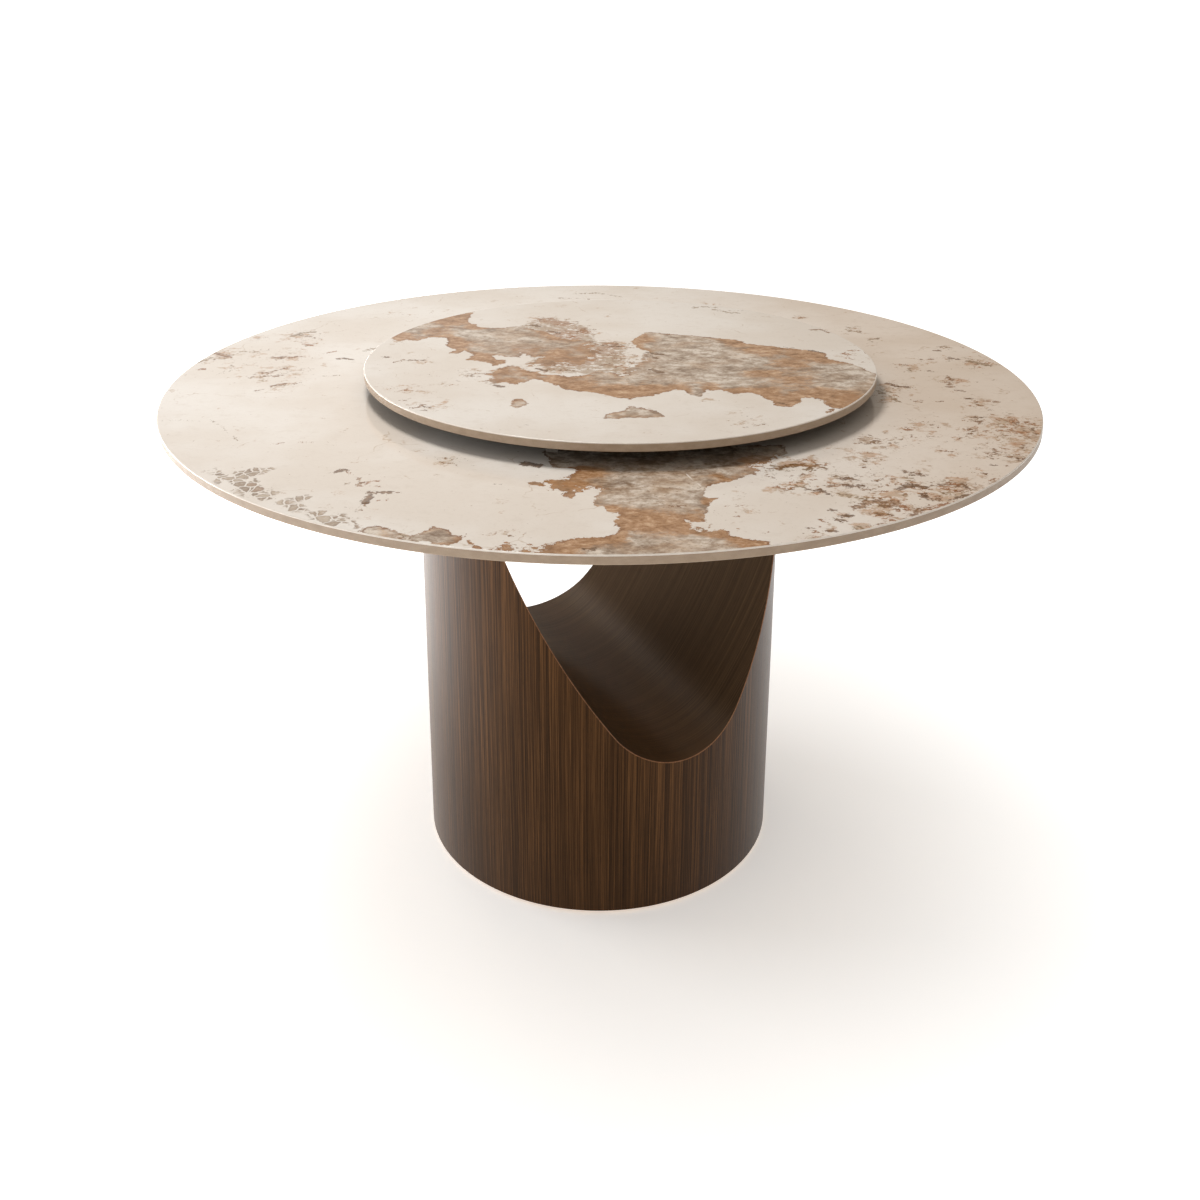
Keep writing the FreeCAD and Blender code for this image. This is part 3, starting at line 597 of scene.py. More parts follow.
    # the big translucent patches
    rag = k.madd(off(micro), 4.0, k.madd(off(mid), 16.0, k.math("MULTIPLY", off(fine), 14.0)))
    rag = k.math("ADD", k.math("MULTIPLY", rag, k.madd(e[0], 1.6, 1.0)), k.math("MULTIPLY", k.math("MULTIPLY", off(frag), 190.0), e[0]))
    d = k.math("ADD", a[0], rag)
    patch = k.step(d, -0.7, 0.7)
    grey = k.ramp(k.madd(off(cloud), 0.62, k.madd(veil, 0.80, k.math("MULTIPLY", wisp, 0.20))), [(0.38, lin(129, 109, 91)), (0.46, lin(157, 139, 121)), (0.53, lin(178, 162, 146)), (0.60, lin(203, 190, 175))])
    grey = k.mix(k.step(k.madd(smear, 0.5, k.math("MULTIPLY", wisp, 0.5)), 0.52, 0.64, 0.0, 0.46), grey, lin(205, 192, 178))
    grey = k.mix(k.step(grain, 0.46, 0.66, 0.0, 0.26), grey, lin(126, 100, 76))
    grey = k.mix(k.step(hue, 0.44, 0.62, 0.0, 0.45), grey, k.mix(k.step(wisp, 0.4, 0.6), lin(140, 108, 80), lin(178, 148, 118)))
    rim = k.step(d, 0.0, 22.0, 0.36, 0.0)
    rusty = k.step(k.math("ADD", k.madd(off(hue), 1.3, k.madd(off(wisp), 0.9, k.math("MULTIPLY", a[1], 1.05))), rim), 0.22, 0.68)
    rust_col = k.ramp(k.madd(veil, 0.50, k.madd(wisp, 0.30, k.math("MULTIPLY", grain, 0.20))), [(0.38, lin(108, 73, 42)), (0.46, lin(143, 103, 67)), (0.53, lin(165, 125, 89)), (0.61, lin(198, 165, 132))])
    body = k.mix(k.math("MULTIPLY", rusty, 0.90), grey, rust_col)
    body = k.mix(k.step(grain, 0.58, 0.70, 0.0, 0.55), body, lin(98, 72, 52))
    chip = k.ramp(tone, [(0.38, lin(128, 92, 62)), (0.46, lin(156, 112, 74)), (0.54, lin(142, 112, 84)), (0.62, lin(112, 78, 50))])
    body = k.mix(k.math("MULTIPLY", k.step(e[0], 0.05, 0.7, 0.0, 0.72), k.step(frag, 0.40, 0.60, 0.45, 1.0)), body, chip)
    line = k.math("MULTIPLY", k.step(d, -0.5, 0.8), k.step(d, 1.2, 5.0, 1.0, 0.0))
    line = k.math("MULTIPLY", line, k.step(field(20.0, 4.0, 0.6, 4.0, 4.0), 0.44, 0.60, 0.10, 0.75))
    body = k.mix(line, body, lin(112, 72, 44))
    col = k.mix(patch, col, body)

    # single marks
    for src, c0, c1, top in ((b[0], (152, 130, 102), (112, 90, 64), 0.75), (b[1], (150, 114, 80), (106, 74, 48), 0.82), (b[2], (160, 112, 72), (124, 80, 48), 0.85)):
        dens = k.step(src, -9.0, 7.0, 0.0, 1.0, False)
        m = over(k.madd(grain, 0.45, k.math("MULTIPLY", frag, 0.55)), k.madd(dens, -0.33, 0.71), 0.04)
        col = k.mix(k.math("MULTIPLY", m, top), col, k.mix(k.step(grain, 0.38, 0.62), lin(*c0), lin(*c1)))
    m = k.step(k.madd(off(frag), 26.0, k.madd(off(grain), 16.0, k.math("ADD", c[0], 0.6))), -0.4, 1.4)
    col = k.mix(k.math("MULTIPLY", m, 0.78), col, k.mix(k.step(grain, 0.38, 0.62), lin(116, 80, 44), lin(76, 48, 22)))
    m = k.step(k.madd(off(fine), 1.6, e[1]), -0.4, 0.5)
    col = k.mix(k.math("MULTIPLY", m, 0.8), col, lin(220, 210, 198))

    if tone_and_shade_to_right:
        # the slab's cream turns darker and warmer towards the viewer's right: partly the stone's own tone, partly
        # painted shade of the light falling off to that side
        col = k.mix(k.step(k.split(vec)[0], 0.12, 0.56), col, k.vmath("MULTIPLY", col, (0.93, 0.86, 0.80)))
    rough = k.madd(fine, 0.04, k.madd(patch, 0.02, 0.05))
    k.set(Base_Color=k.vmath("SCALE", col, scale=gain), Roughness=rough, IOR=1.52, Specular_IOR_Level=0.24)
    k.bump(k.madd(fine, 0.6, micro), 0.012, 0.0004)
    return k.m


def stone_edge(name, c0, c1, rough):
    k = Nodes(name)
    vec = k.mapping(k.obj(), scale=(1.0, 1.0, 2.0))
    n = k.noise(vec, 60.0, 6.0, 0.65)
    g = k.noise(vec, 900.0, 2.0, 0.5)
    col = k.mix(k.step(n, 0.3, 0.7), lin(*c0), lin(*c1))
    col = k.mix(k.step(g, 0.5, 0.75, 0.0, 0.25), col, lin(*[v * 0.7 for v in c1]))
    k.set(Base_Color=col, Roughness=k.madd(n, 0.12, rough))
    k.bump(g, 0.10, 0.0003)
    return k.m


# ------------------------------------------------------------------ veneer
def veneer(name, shift, dark, mid, light, rough, shine, contrast=0.10, tint=None, smooth_and_lit_bottom=None):
    """Straight-grained walnut: the Grain map holds metres across and along the grain."""
    k = Nodes(name)
    uv = k.uv("Grain")
    wob = k.noise(k.mapping(uv, loc=shift, scale=(3.0, 1.1, 1.0)), 1.0, 3.0, 0.5, col=True)
    uv = k.vmath("ADD", uv, k.vmath("MULTIPLY", k.vmath("SUBTRACT", wob, (0.5, 0.5, 0.5)), (0.008, 0.0, 0.0)))
    band = k.noise(k.mapping(uv, loc=shift, scale=(60.0, 0.45, 1.0)), 1.0, 2.0, 0.5)
    stripe = k.noise(k.mapping(uv, loc=shift, scale=(430.0, 1.3, 1.0)), 1.0, 4.0, 0.62)
    fibre = k.noise(k.mapping(uv, loc=shift, scale=(1150.0, 6.0, 1.0)), 1.0, 3.0, 0.65)
    pore = k.noise(k.mapping(uv, loc=shift, scale=(1700.0, 46.0, 1.0)), 1.0, 2.0, 0.5)
    cloud = k.noise(k.mapping(uv, loc=shift, scale=(6.0, 2.4, 1.0)), 1.0, 3.0, 0.5)
    v = k.madd(stripe, 0.46, k.madd(band, 0.16, k.math("MULTIPLY", fibre, 0.38)))
    col = k.ramp(v, [(0.5 - contrast, lin(*dark)), (0.50, lin(*mid)), (0.5 + contrast, lin(*light))])
    col = k.mix(k.step(cloud, 0.35, 0.7, 0.0, 0.35), col, lin(*[0.5 * (d + m) for d, m in zip(dark, mid)]))
    col = k.mix(k.step(pore, 0.60, 0.74, 0.0, 0.60), col, lin(*[c * 0.45 for c in dark]))
    # towards the channel bottom the veneer turns smoother and its colour is lifted by 1.35: the lift is a painted
    # highlight
    if smooth_and_lit_bottom:
        z = k.split(k.obj())[2]
        rough = k.step(z, smooth_and_lit_bottom[0], smooth_and_lit_bottom[1], smooth_and_lit_bottom[2], rough)
        col = k.mix(k.step(z, smooth_and_lit_bottom[0], smooth_and_lit_bottom[1], 1.0, 0.0), col, k.vmath("SCALE", col, scale=1.35))
    if tint:
        k.set(Specular_Tint=lin(*tint))
    r = k.madd(fibre, 0.14, k.madd(k.step(pore, 0.6, 0.74), 0.10, rough))
    k.set(Base_Color=col, Roughness=r, IOR=1.5, Specular_IOR_Level=shine)
    k.bump(k.madd(k.step(pore, 0.58, 0.74), -1.0, k.math("MULTIPLY", fibre, 0.6)), 0.12, 0.0004)
    return k.m


# ------------------------------------------------------------------ plain workshop materials
def plywood(name):
    k = Nodes(name)
    p = k.obj()
    face = k.noise(k.mapping(p, scale=(14.0, 160.0, 14.0)), 1.0, 5.0, 0.6)
    ply = k.split(p)[2]
    wave = k.math("SINE", k.math("MULTIPLY", ply, 2.0 * math.pi / 0.0032))
    col = k.ramp(face, [(0.3, lin(172, 136, 96)), (0.5, lin(196, 162, 120)), (0.7, lin(214, 184, 144))])
    col = k.mix(k.step(wave, 0.1, 0.6, 0.0, 0.25), col, lin(150, 112, 74))
    k.set(Base_Color=col, Roughness=k.madd(face, 0.2, 0.5))
    k.bump(face, 0.12, 0.0005)
    return k.m


def grainy(name, c0, c1, scale, rough, metallic=0.0, stretch=(1.0, 1.0, 1.0), bump=0.05, spread=0.15):
    k = Nodes(name)
    p = k.mapping(k.obj(), scale=stretch)
    n = k.noise(p, scale, 5.0, 0.6)
    f = k.noise(p, scale * 6.0, 3.0, 0.6)
    k.set(Base_Color=k.mix(k.step(n, 0.3, 0.7), lin(*c0), lin(*c1)), Roughness=k.madd(f, spread, rough), Metallic=metallic)
    k.bump(f, bump, 0.0004)
    return k.m


def turned(name, c0, c1, cx, cy):
    """Lathe-turned face: fine rings about the bearing's axis."""
    k = Nodes(name)
    p = k.mapping(k.obj(), loc=(-cx, -cy, 0.0))
    x, y, _ = k.split(p)
    r = k.math("SQRT", k.madd(x, x, k.math("MULTIPLY", y, y)))
    n = k.noise(k.mapping(p, scale=(1.0, 1.0, 1.0)), 20.0, 3.0, 0.6)
    ring = k.math("SINE", k.math("MULTIPLY", r, 5200.0))
    k.set(Base_Color=k.mix(k.step(n, 0.3, 0.7), lin(*c0), lin(*c1)), Roughness=k.madd(ring, 0.05, 0.32), Metallic=1.0)
    k.bump(ring, 0.05, 0.0002)
    return k.m


# ------------------------------------------------------------------ mesh helpers
def mesh_object(name, verts, faces, mats, mat_index, uvs):
    me = bpy.data.meshes.new(name)
    me.from_pydata(verts, [], faces)
    for m in mats:
        me.materials.append(m)
    me.polygons.foreach_set("material_index", np.asarray(mat_index, np.int32))
    me.polygons.foreach_set("use_smooth", np.ones(len(faces), bool))
    for uv_name, data in uvs.items():
        layer = me.uv_layers.new(name=uv_name, do_init=False)
        layer.data.foreach_set("uv", np.asarray(data, np.float32).ravel())
    me.validate(clean_customdata=False)
    me.update()
    ob = bpy.data.objects.new(name, me)
    bpy.context.scene.collection.objects.link(ob)
    return ob


def slab(name, radius, z0, z1, cx, cy, radii, sectors, mats, fields):
    """Round stone slab: polished face, rounded arris, sawn edge, plain back. fields gives the figure at points in mm."""
    arris, foot = 0.0015, 0.0010
    ring = [(r, z1, 0) for r in radii] + [(radius - arris - 0.0003, z1, 0), (radius - arris, z1, 0)]
    for t in (0.25, 0.5, 0.75, 1.0):
        ang = t * math.pi / 2
        ring.append((radius - arris + arris * math.sin(ang), z1 - arris + arris * math.cos(ang), 1))
    ring.append((radius, z1 - arris - 0.0003, 2))
    ring.append((radius, z0 + foot + 0.0003, 2))
    ring.append((radius, z0 + foot, 2))
    for t in (0.5, 1.0):
        ang = t * math.pi / 2
        ring.append((radius - foot + foot * math.cos(ang), z0 + foot - foot * math.sin(ang), 2))
    ring.append((radius - foot - 0.0003, z0, 3))
    ring += [(radius * f, z0, 3) for f in (0.9, 0.7, 0.5, 0.3, 0.12)]
    rr = np.array([q[0] for q in ring])
    zz = np.array([q[1] for q in ring])
    kind = [q[2] for q in ring]
    ang = np.linspace(0, 2 * math.pi, sectors, endpoint=False)
    x = cx + rr[:, None] * np.cos(ang)
    y = cy + rr[:, None] * np.sin(ang)
    z = np.broadcast_to(zz[:, None], x.shape)
    verts = np.concatenate([np.stack([x, y, z], -1).reshape(-1, 3), [[cx, cy, z1], [cx, cy, z0]]])
    nr = len(ring)
    top_c, bot_c = nr * sectors, nr * sectors + 1
    j = np.arange(sectors)
    jn = (j + 1) % sectors
    faces, mi, uv = [], [], []

    def flat(rad, th, scale, ox, oy):
        return np.stack([ox + scale * rad / radius * np.cos(th), oy + scale * rad / radius * np.sin(th)], -1)

    th0, th1 = ang, ang + 2 * math.pi / sectors
    for jj in range(sectors):
        faces.append((top_c, jj, int(jn[jj])))
        mi.append(0)
    uv.append(np.stack([flat(0, th0, 0.35, 0.36, 0.36), flat(rr[0], th0, 0.35, 0.36, 0.36), flat(rr[0], th1, 0.35, 0.36, 0.36)], 1).reshape(-1, 2))
    strip = np.cumsum([0.0] + [math.hypot(rr[i + 1] - rr[i], zz[i + 1] - zz[i]) if kind[i + 1] in (1, 2) else 0.0 for i in range(nr - 1)])
    strip = strip / strip[-1]
    for i in range(nr - 1):
        kd = kind[i + 1]
        a, b = i * sectors, (i + 1) * sectors
        quads = np.stack([a + j, b + j, b + jn, a + jn], 1)
        faces += [tuple(int(v) for v in q) for q in quads]
        mi += [kd] * sectors
        if kd == 0:
            q = [flat(rr[i], th0, 0.35, 0.36, 0.36), flat(rr[i + 1], th0, 0.35, 0.36, 0.36), flat(rr[i + 1], th1, 0.35, 0.36, 0.36), flat(rr[i], th1, 0.35, 0.36, 0.36)]
        elif kd == 3:
            q = [flat(rr[i], th0, 0.12, 0.86, 0.14), flat(rr[i + 1], th0, 0.12, 0.86, 0.14), flat(rr[i + 1], th1, 0.12, 0.86, 0.14), flat(rr[i], th1, 0.12, 0.86, 0.14)]
        else:
            u0, u1 = th0 / (2 * math.pi) * 0.98 + 0.01, th1 / (2 * math.pi) * 0.98 + 0.01
            v0, v1 = 0.76 + 0.08 * strip[i], 0.76 + 0.08 * strip[i + 1]
            q = [np.stack([u0, 0 * u0 + v0], -1), np.stack([u0, 0 * u0 + v1], -1), np.stack([u1, 0 * u0 + v1], -1), np.stack([u1, 0 * u0 + v0], -1)]
        uv.append(np.stack(q, 1).reshape(-1, 2))
    last = (nr - 1) * sectors
    for jj in range(sectors):
        faces.append((last + jj, bot_c, last + int(jn[jj])))
        mi.append(3)
    uv.append(np.stack([flat(rr[-1], th0, 0.12, 0.86, 0.14), flat(0, th0, 0.12, 0.86, 0.14), flat(rr[-1], th1, 0.12, 0.86, 0.14)], 1).reshape(-1, 2))
    ob = mesh_object(name, verts.tolist(), faces, mats, mi, {"OFBake": np.concatenate(uv)})
    f = fields(verts[:, :2] * 1000.0)
    for nm, data in zip(("figure_a", "figure_b", "figure_c", "figure_d"), f):
        at = ob.data.attributes.new(nm, "FLOAT_VECTOR", "POINT")
        at.data.foreach_set("vector", data.astype(np.float32).ravel())
    return ob


# ------------------------------------------------------------------ channel section
def profile():
    """Half section of the channel from its lowest line up to where it turns vertical: x, z, slope angle, length."""
    pts = []
    c1 = (0.0, CH_Z0 + CH_R1)
    for t in np.linspace(0.0, CH_T1, 30):
        pts.append((c1[0] + CH_R1 * math.sin(t), c1[1] - CH_R1 * math.cos(t), t))
    c2 = (pts[-1][0] - CH_R2 * math.sin(CH_T1), pts[-1][1] + CH_R2 * math.cos(CH_T1))
    t2 = math.acos((c2[1] - CH_Z2) / CH_R2)
    for t in np.linspace(CH_T1, t2, 64)[1:]:
        pts.append((c2[0] + CH_R2 * math.sin(t), c2[1] - CH_R2 * math.cos(t), t))
    c3 = (pts[-1][0] - CH_R3 * math.sin(t2), pts[-1][1] + CH_R3 * math.cos(t2))
    for t in np.linspace(t2, math.pi / 2, 20)[1:]:
        pts.append((c3[0] + CH_R3 * math.sin(t), c3[1] - CH_R3 * math.cos(t), t))
    p = np.array(pts)
    s = np.concatenate([[0.0], np.cumsum(np.hypot(np.diff(p[:, 0]), np.diff(p[:, 1])))])
    return p[:, 0], p[:, 1], p[:, 2], s


PX, PZ, PT, PS = profile()
CHAMFER = 0.0011
ROWS, POST = 58, 9               # rows up to the spring of the upright, rows along the upright


def skin_loop(radius, off):
    """Points of the rim, anticlockwise: front curve, right post, right lobe, back curve, left post, left lobe."""
    x = PX + off * np.sin(PT)
    z = PZ - off * np.cos(PT)
    al = np.arcsin(np.clip(x / radius, -1, 1))
    front_a = np.concatenate([-al[:0:-1], al])
    front_z = np.concatenate([z[:0:-1], z])
    post_z = np.linspace(z[-1], DRUM_Z1, POST + 1)[1:]
    lobe_a = np.linspace(al[-1], math.pi - al[-1], 54)
    return front_a, front_z, post_z, lobe_a


def drum_shell(name, mats):
    verts, gr, faces, mi, grain, bake = [], [], [], [], [], []

    def add(radius, a, z):
        verts.append((radius * math.sin(a), -radius * math.cos(a), z))
        gr.append((a, z))
        return len(verts) - 1

    def quad(ids, kind, v):
        """One face with its grain and bake corners; v is the height on the bake sheet of each corner."""
        faces.append(tuple(ids))
        mi.append(kind)
        al = [gr[i][0] for i in ids]
        if max(al) - min(al) > math.pi:
            al = [a + 2 * math.pi if a < math.pi else a for a in al]
        for i, a, vv in zip(ids, al, v):
            grain.append((a * DRUM_R, gr[i][1]))
            bake.append((0.005 + 0.98 * (a + 1.5) / (2 * math.pi + 0.2), vv))

    def wall(radius, off, lo, kind, flip, v0, v1):
        """One cylindrical wall. Returns the ids along its rim and along its foot."""
        fa, fz, pz, la = skin_loop(radius, off)
        span = DRUM_Z1 - DRUM_Z0
        patch = []
        for turn in (0.0, math.pi):
            g = [[add(radius, a + turn, lo + t * (zt - lo)) for a, zt in zip(fa, fz)] for t in np.linspace(0, 1, ROWS)]
            patch.append(g)
        lobes = []
        for side, turn in ((0, 0.0), (1, math.pi)):
            left, right = patch[side], patch[1 - side]
            zr = [lo + t * (fz[0] - lo) for t in np.linspace(0, 1, ROWS)] + list(pz)
            g = []
            for r, zz in enumerate(zr):
                ids = []
                for c, a in enumerate(la):
                    if c == 0 and r < ROWS:
                        ids.append(left[r][-1])
                    elif c == len(la) - 1 and r < ROWS:
                        ids.append(right[r][0])
                    else:
                        ids.append(add(radius, a + turn, zz))
                g.append(ids)
            lobes.append(g)
        for g in (patch[0], lobes[0], patch[1], lobes[1]):
            for r in range(len(g) - 1):
                for c in range(len(g[0]) - 1):
                    q = [g[r][c], g[r][c + 1], g[r + 1][c + 1], g[r + 1][c]]
                    if flip:
                        q = q[::-1]
                    quad(q, kind, [v0 + (v1 - v0) * (gr[i][1] - DRUM_Z0) / span for i in q])
        rim, foot = [], []
        for side in (0, 1):
            g, b = patch[side], lobes[side]
            rim += g[-1] + [b[r][0] for r in range(ROWS, ROWS + POST)] + b[-1][1:] + [b[r][-1] for r in range(ROWS + POST - 2, ROWS - 1, -1)]
            foot += g[0] + b[0][1:-1]
        return rim, foot

    def rim_only(radius, off):
        fa, fz, pz, la = skin_loop(radius, off)
        ids = []
        for turn in (0.0, math.pi):
            ids += [add(radius, a + turn, z) for a, z in zip(fa, fz)]
            ids += [add(radius, la[0] + turn, z) for z in pz]
            ids += [add(radius, a + turn, DRUM_Z1) for a in la[1:]]
            ids += [add(radius, la[-1] + turn, z) for z in pz[-2::-1]]
        return ids

    def strip(lower, upper, kind, v0, v1):
        n = len(lower)
        for i in range(n):
            j = (i + 1) % n
            quad([lower[i], lower[j], upper[j], upper[i]], kind, [v0, v0, v1, v1])

    foot_c = 0.0012
    rim_o, foot_o = wall(DRUM_R, CHAMFER, DRUM_Z0 + foot_c, 0, False, 0.03, 0.66)
    rim_i, foot_i = wall(DRUM_R - SKIN, SKIN, DRUM_Z0, 2, True, 0.74, 0.98)
    rim_c = rim_only(DRUM_R - CHAMFER, 0.0)
    strip(rim_o, rim_c, 1, 0.68, 0.69)
    strip(rim_c, rim_i, 2, 0.70, 0.72)
    foot_b = [add(DRUM_R - foot_c, gr[i][0], DRUM_Z0) for i in foot_o]
    strip(foot_b, foot_o, 0, 0.02, 0.03)
    strip(foot_i, foot_b, 2, 0.005, 0.015)
    ob = mesh_object(name, verts, faces, mats, mi, {"OFBake": bake, "Grain": grain})
    ob.data.set_sharp_from_angle(angle=math.radians(28))
    return ob


def saddle(name, mats):
    post_z = np.linspace(PZ[-1], DRUM_Z1, POST + 1)[1:]
    hx = np.concatenate([PX, np.full(POST, PX[-1])])
    hz = np.concatenate([PZ, post_z])
    ht = np.concatenate([PT, np.full(POST, math.pi / 2)])
    hs = np.concatenate([PS, PS[-1] + post_z - PZ[-1]])
    x = np.concatenate([-hx[:0:-1], hx])
    z = np.concatenate([hz[:0:-1], hz])
    t = np.concatenate([-ht[:0:-1], ht])
    s = np.concatenate([-hs[:0:-1], hs])
    n = len(x)
    m = 64
    w = np.linspace(-1, 1, m)
    yc = np.sqrt((DRUM_R - CHAMFER) ** 2 - x ** 2)
    xo, zo = x + SKIN * np.sin(t), np.minimum(z - SKIN * np.cos(t), DRUM_Z1)
    yi = np.sqrt(np.maximum((DRUM_R - SKIN) ** 2 - xo ** 2, 1e-8))
    rows = [np.stack([x, q * yc, z], -1) for q in w] + [np.stack([xo, q * yi, zo], -1) for q in w[::-1]]
    ys = [q * yc for q in w] + [q * yi for q in w[::-1]]
    nr = len(rows)
    verts = np.stack(rows, 0).reshape(-1, 3)
    i = np.arange(n - 1)
    faces, mi, g, o = [], [], [], []
    u = (s - s[0]) / (s[-1] - s[0])
    for r in range(nr):
        r1 = (r + 1) % nr
        kd = 0 if r < m - 1 else 1
        quads = np.stack([r * n + i, r * n + i + 1, r1 * n + i + 1, r1 * n + i], 1)
        faces += [tuple(int(v) for v in q) for q in quads]
        mi += [kd] * (n - 1)
        y0, y1 = ys[r], ys[r1]
        g.append(np.stack([np.stack([y0[i], s[i]], -1), np.stack([y0[i + 1], s[i + 1]], -1),
                           np.stack([y1[i + 1], s[i + 1]], -1), np.stack([y1[i], s[i]], -1)], 1).reshape(-1, 2))
        v0, v1 = 0.01 + 0.9 * r / nr, 0.01 + 0.9 * (r + 1) / nr
        if kd == 0:
            v0, v1 = 0.01 + 0.62 * r / (m - 1), 0.01 + 0.62 * (r + 1) / (m - 1)
        else:
            v0, v1 = 0.66 + 0.24 * (r - m + 1) / (nr - m + 1), 0.66 + 0.24 * (r - m + 2) / (nr - m + 1)
        ua, ub = 0.01 + 0.97 * u[i], 0.01 + 0.97 * u[i + 1]
        o.append(np.stack([np.stack([ua, 0 * ua + v0], -1), np.stack([ub, 0 * ua + v0], -1),
                           np.stack([ub, 0 * ua + v1], -1), np.stack([ua, 0 * ua + v1], -1)], 1).reshape(-1, 2))
    for end, flip in ((0, False), (n - 1, True)):
        for kk in range(m - 1):
            q = [kk * n + end, (kk + 1) * n + end, (nr - 2 - kk) * n + end, (nr - 1 - kk) * n + end]
            ev = 0.93 if flip else 0.96
            uu = [[0.01 + 0.9 * kk / m, ev], [0.01 + 0.9 * (kk + 1) / m, ev], [0.01 + 0.9 * (kk + 1) / m, ev + 0.01], [0.01 + 0.9 * kk / m, ev + 0.01]]
            gg = [[float(verts[v][1]), float(verts[v][0])] for v in q]
            if flip:
                q, uu, gg = q[::-1], uu[::-1], gg[::-1]
            faces.append(tuple(q))
            mi.append(1)
            g.append(np.array(gg))
            o.append(np.array(uu))
    ob = mesh_object(name, verts.tolist(), faces, mats, mi, {"OFBake": np.concatenate(o), "Grain": np.concatenate(g)})
    ob.data.set_sharp_from_angle(angle=math.radians(28))
    return ob


# ------------------------------------------------------------------ materials
mat_top = stone("stone_top", (0.0, 0.0, 0.0), 44.0, tone_and_shade_to_right=True)
mat_turn = stone("stone_turntable", (2.37, 1.13, 0.4), gain=1.09)
mat_arris = stone_edge("stone_arris", (232, 222, 211), (222, 211, 199), 0.16)
mat_edge = stone_edge("stone_edge", (152, 131, 109), (139, 118, 96), 0.38)
mat_turn_edge = stone_edge("turntable_edge", (176, 155, 133), (162, 141, 119), 0.34)
mat_back = stone_edge("stone_back", (150, 138, 124), (132, 120, 106), 0.62)
# the turntable's underside is near-black, far darker than the table's underside: painted shade that deepens the gap
# under the turntable
mat_turn_back_shade = stone_edge("turntable_back_painted_shade", (44, 40, 36), (34, 31, 28), 0.55)
mat_drum = veneer("walnut_outside", (0.0, 0.0, 0.0), (34, 22, 11), (62, 41, 23), (103, 71, 42), 0.28, 0.50, 0.085, (112, 78, 52))
# the trough's veneer carries a painted highlight along the channel bottom
mat_trough = veneer("walnut_trough", (3.7, 1.9, 0.0), (51, 39, 27), (67, 52, 37), (85, 67, 48), 0.90, 0.34, 0.13, (90, 68, 48), (0.251, 0.312, 0.26))
mat_lip = veneer("walnut_lip", (1.3, 0.7, 0.0), (120, 84, 60), (146, 106, 78), (168, 126, 96), 0.40, 0.30)
mat_ply = plywood("birch_plywood")
mat_beech = grainy("beech_block", (168, 120, 76), (188, 142, 96), 12.0, 0.5, stretch=(18.0, 18.0, 1.0), bump=0.1)
mat_black = grainy("black_powder_coat", (22, 22, 23), (34, 34, 35), 420.0, 0.42, bump=0.25)
mat_zinc = grainy("zinc_plate", (168, 168, 160), (196, 194, 182), 90.0, 0.28, metallic=1.0)
mat_brass = grainy("turned_brass", (196, 158, 84), (214, 180, 108), 120.0, 0.25, metallic=1.0)
mat_alu = turned("turned_aluminium", (186, 187, 190), (204, 205, 207), TURN_X, TURN_Y)
mat_ball = grainy("polished_ball", (190, 190, 192), (206, 206, 208), 200.0, 0.08, metallic=1.0, bump=0.0, spread=0.04)
mat_nylon = grainy("dark_nylon", (34, 33, 32), (46, 45, 43), 300.0, 0.48, bump=0.15)
mat_acetal = grainy("natural_acetal", (214, 210, 198), (226, 223, 212), 160.0, 0.42)
mat_rubber = grainy("black_rubber", (24, 24, 24), (36, 35, 34), 260.0, 0.62, bump=0.2)
mat_silicone = grainy("grey_silicone", (150, 150, 146), (166, 166, 161), 220.0, 0.55)
mat_stop = grainy("grey_stop", (64, 60, 54), (78, 73, 66), 240.0, 0.45)

# ------------------------------------------------------------------ pieces
soft_keys = ("smear", "east1", "east2")
pebble_keys = ("pebbleA", "pebbleB")
top_solid = [v for k, v in TABLE.items() if k not in soft_keys + pebble_keys]
top_soft = [TABLE[k] for k in soft_keys]
top_pebble = [TABLE[k] for k in pebble_keys] + [[(-546, -329), (-527, -326), (-510, -344), (-496, -372), (-495, -401), (-510, -396), (-527, -381), (-541, -365), (-550, -344)], [(-622, -134), (-606, -133), (-599, -154), (-601, -179), (-616, -169), (-623, -152)]]
turn_solid = list(TURN.values())

radii_top = [0.02, 0.06, 0.12, 0.18, 0.23, 0.27] + list(np.arange(0.285, 0.646, 0.0044))
radii_turn = list(np.arange(0.004, 0.382, 0.0040))

top_piece = slab("tabletop_stone", TOP_R, TOP_Z - SLAB_T, TOP_Z, 0.0, 0.0, radii_top, 900, [mat_top, mat_arris, mat_edge, mat_back],
                 lambda p: figure(p, top_solid, top_soft, top_pebble, TABLE_MARKS, TABLE_FLECKS, TABLE_RUST, TABLE_LACE, TABLE_CRACKS))
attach(top_piece, "table")
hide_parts("tabletop_slab")

turn_piece = slab("turntable_stone", TURN_R, TURN_Z - SLAB_T, TURN_Z, TURN_X, TURN_Y, radii_turn, 720, [mat_turn, mat_arris, mat_turn_edge, mat_turn_back_shade],
                  lambda p: figure(p, turn_solid, TURN_SHARDS, [], TURN_MARKS, TURN_FLECKS, TURN_RUST, TURN_LACE, TURN_CRACKS))
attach(turn_piece, "turntable")
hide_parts("turntable_slab")

drum_piece = drum_shell("drum_veneer", [mat_drum, mat_lip, mat_ply])
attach(drum_piece, "table")
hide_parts("drum_shell")

saddle_piece = saddle("trough_veneer", [mat_trough, mat_ply])
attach(saddle_piece, "table")
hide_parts("saddle_panel")

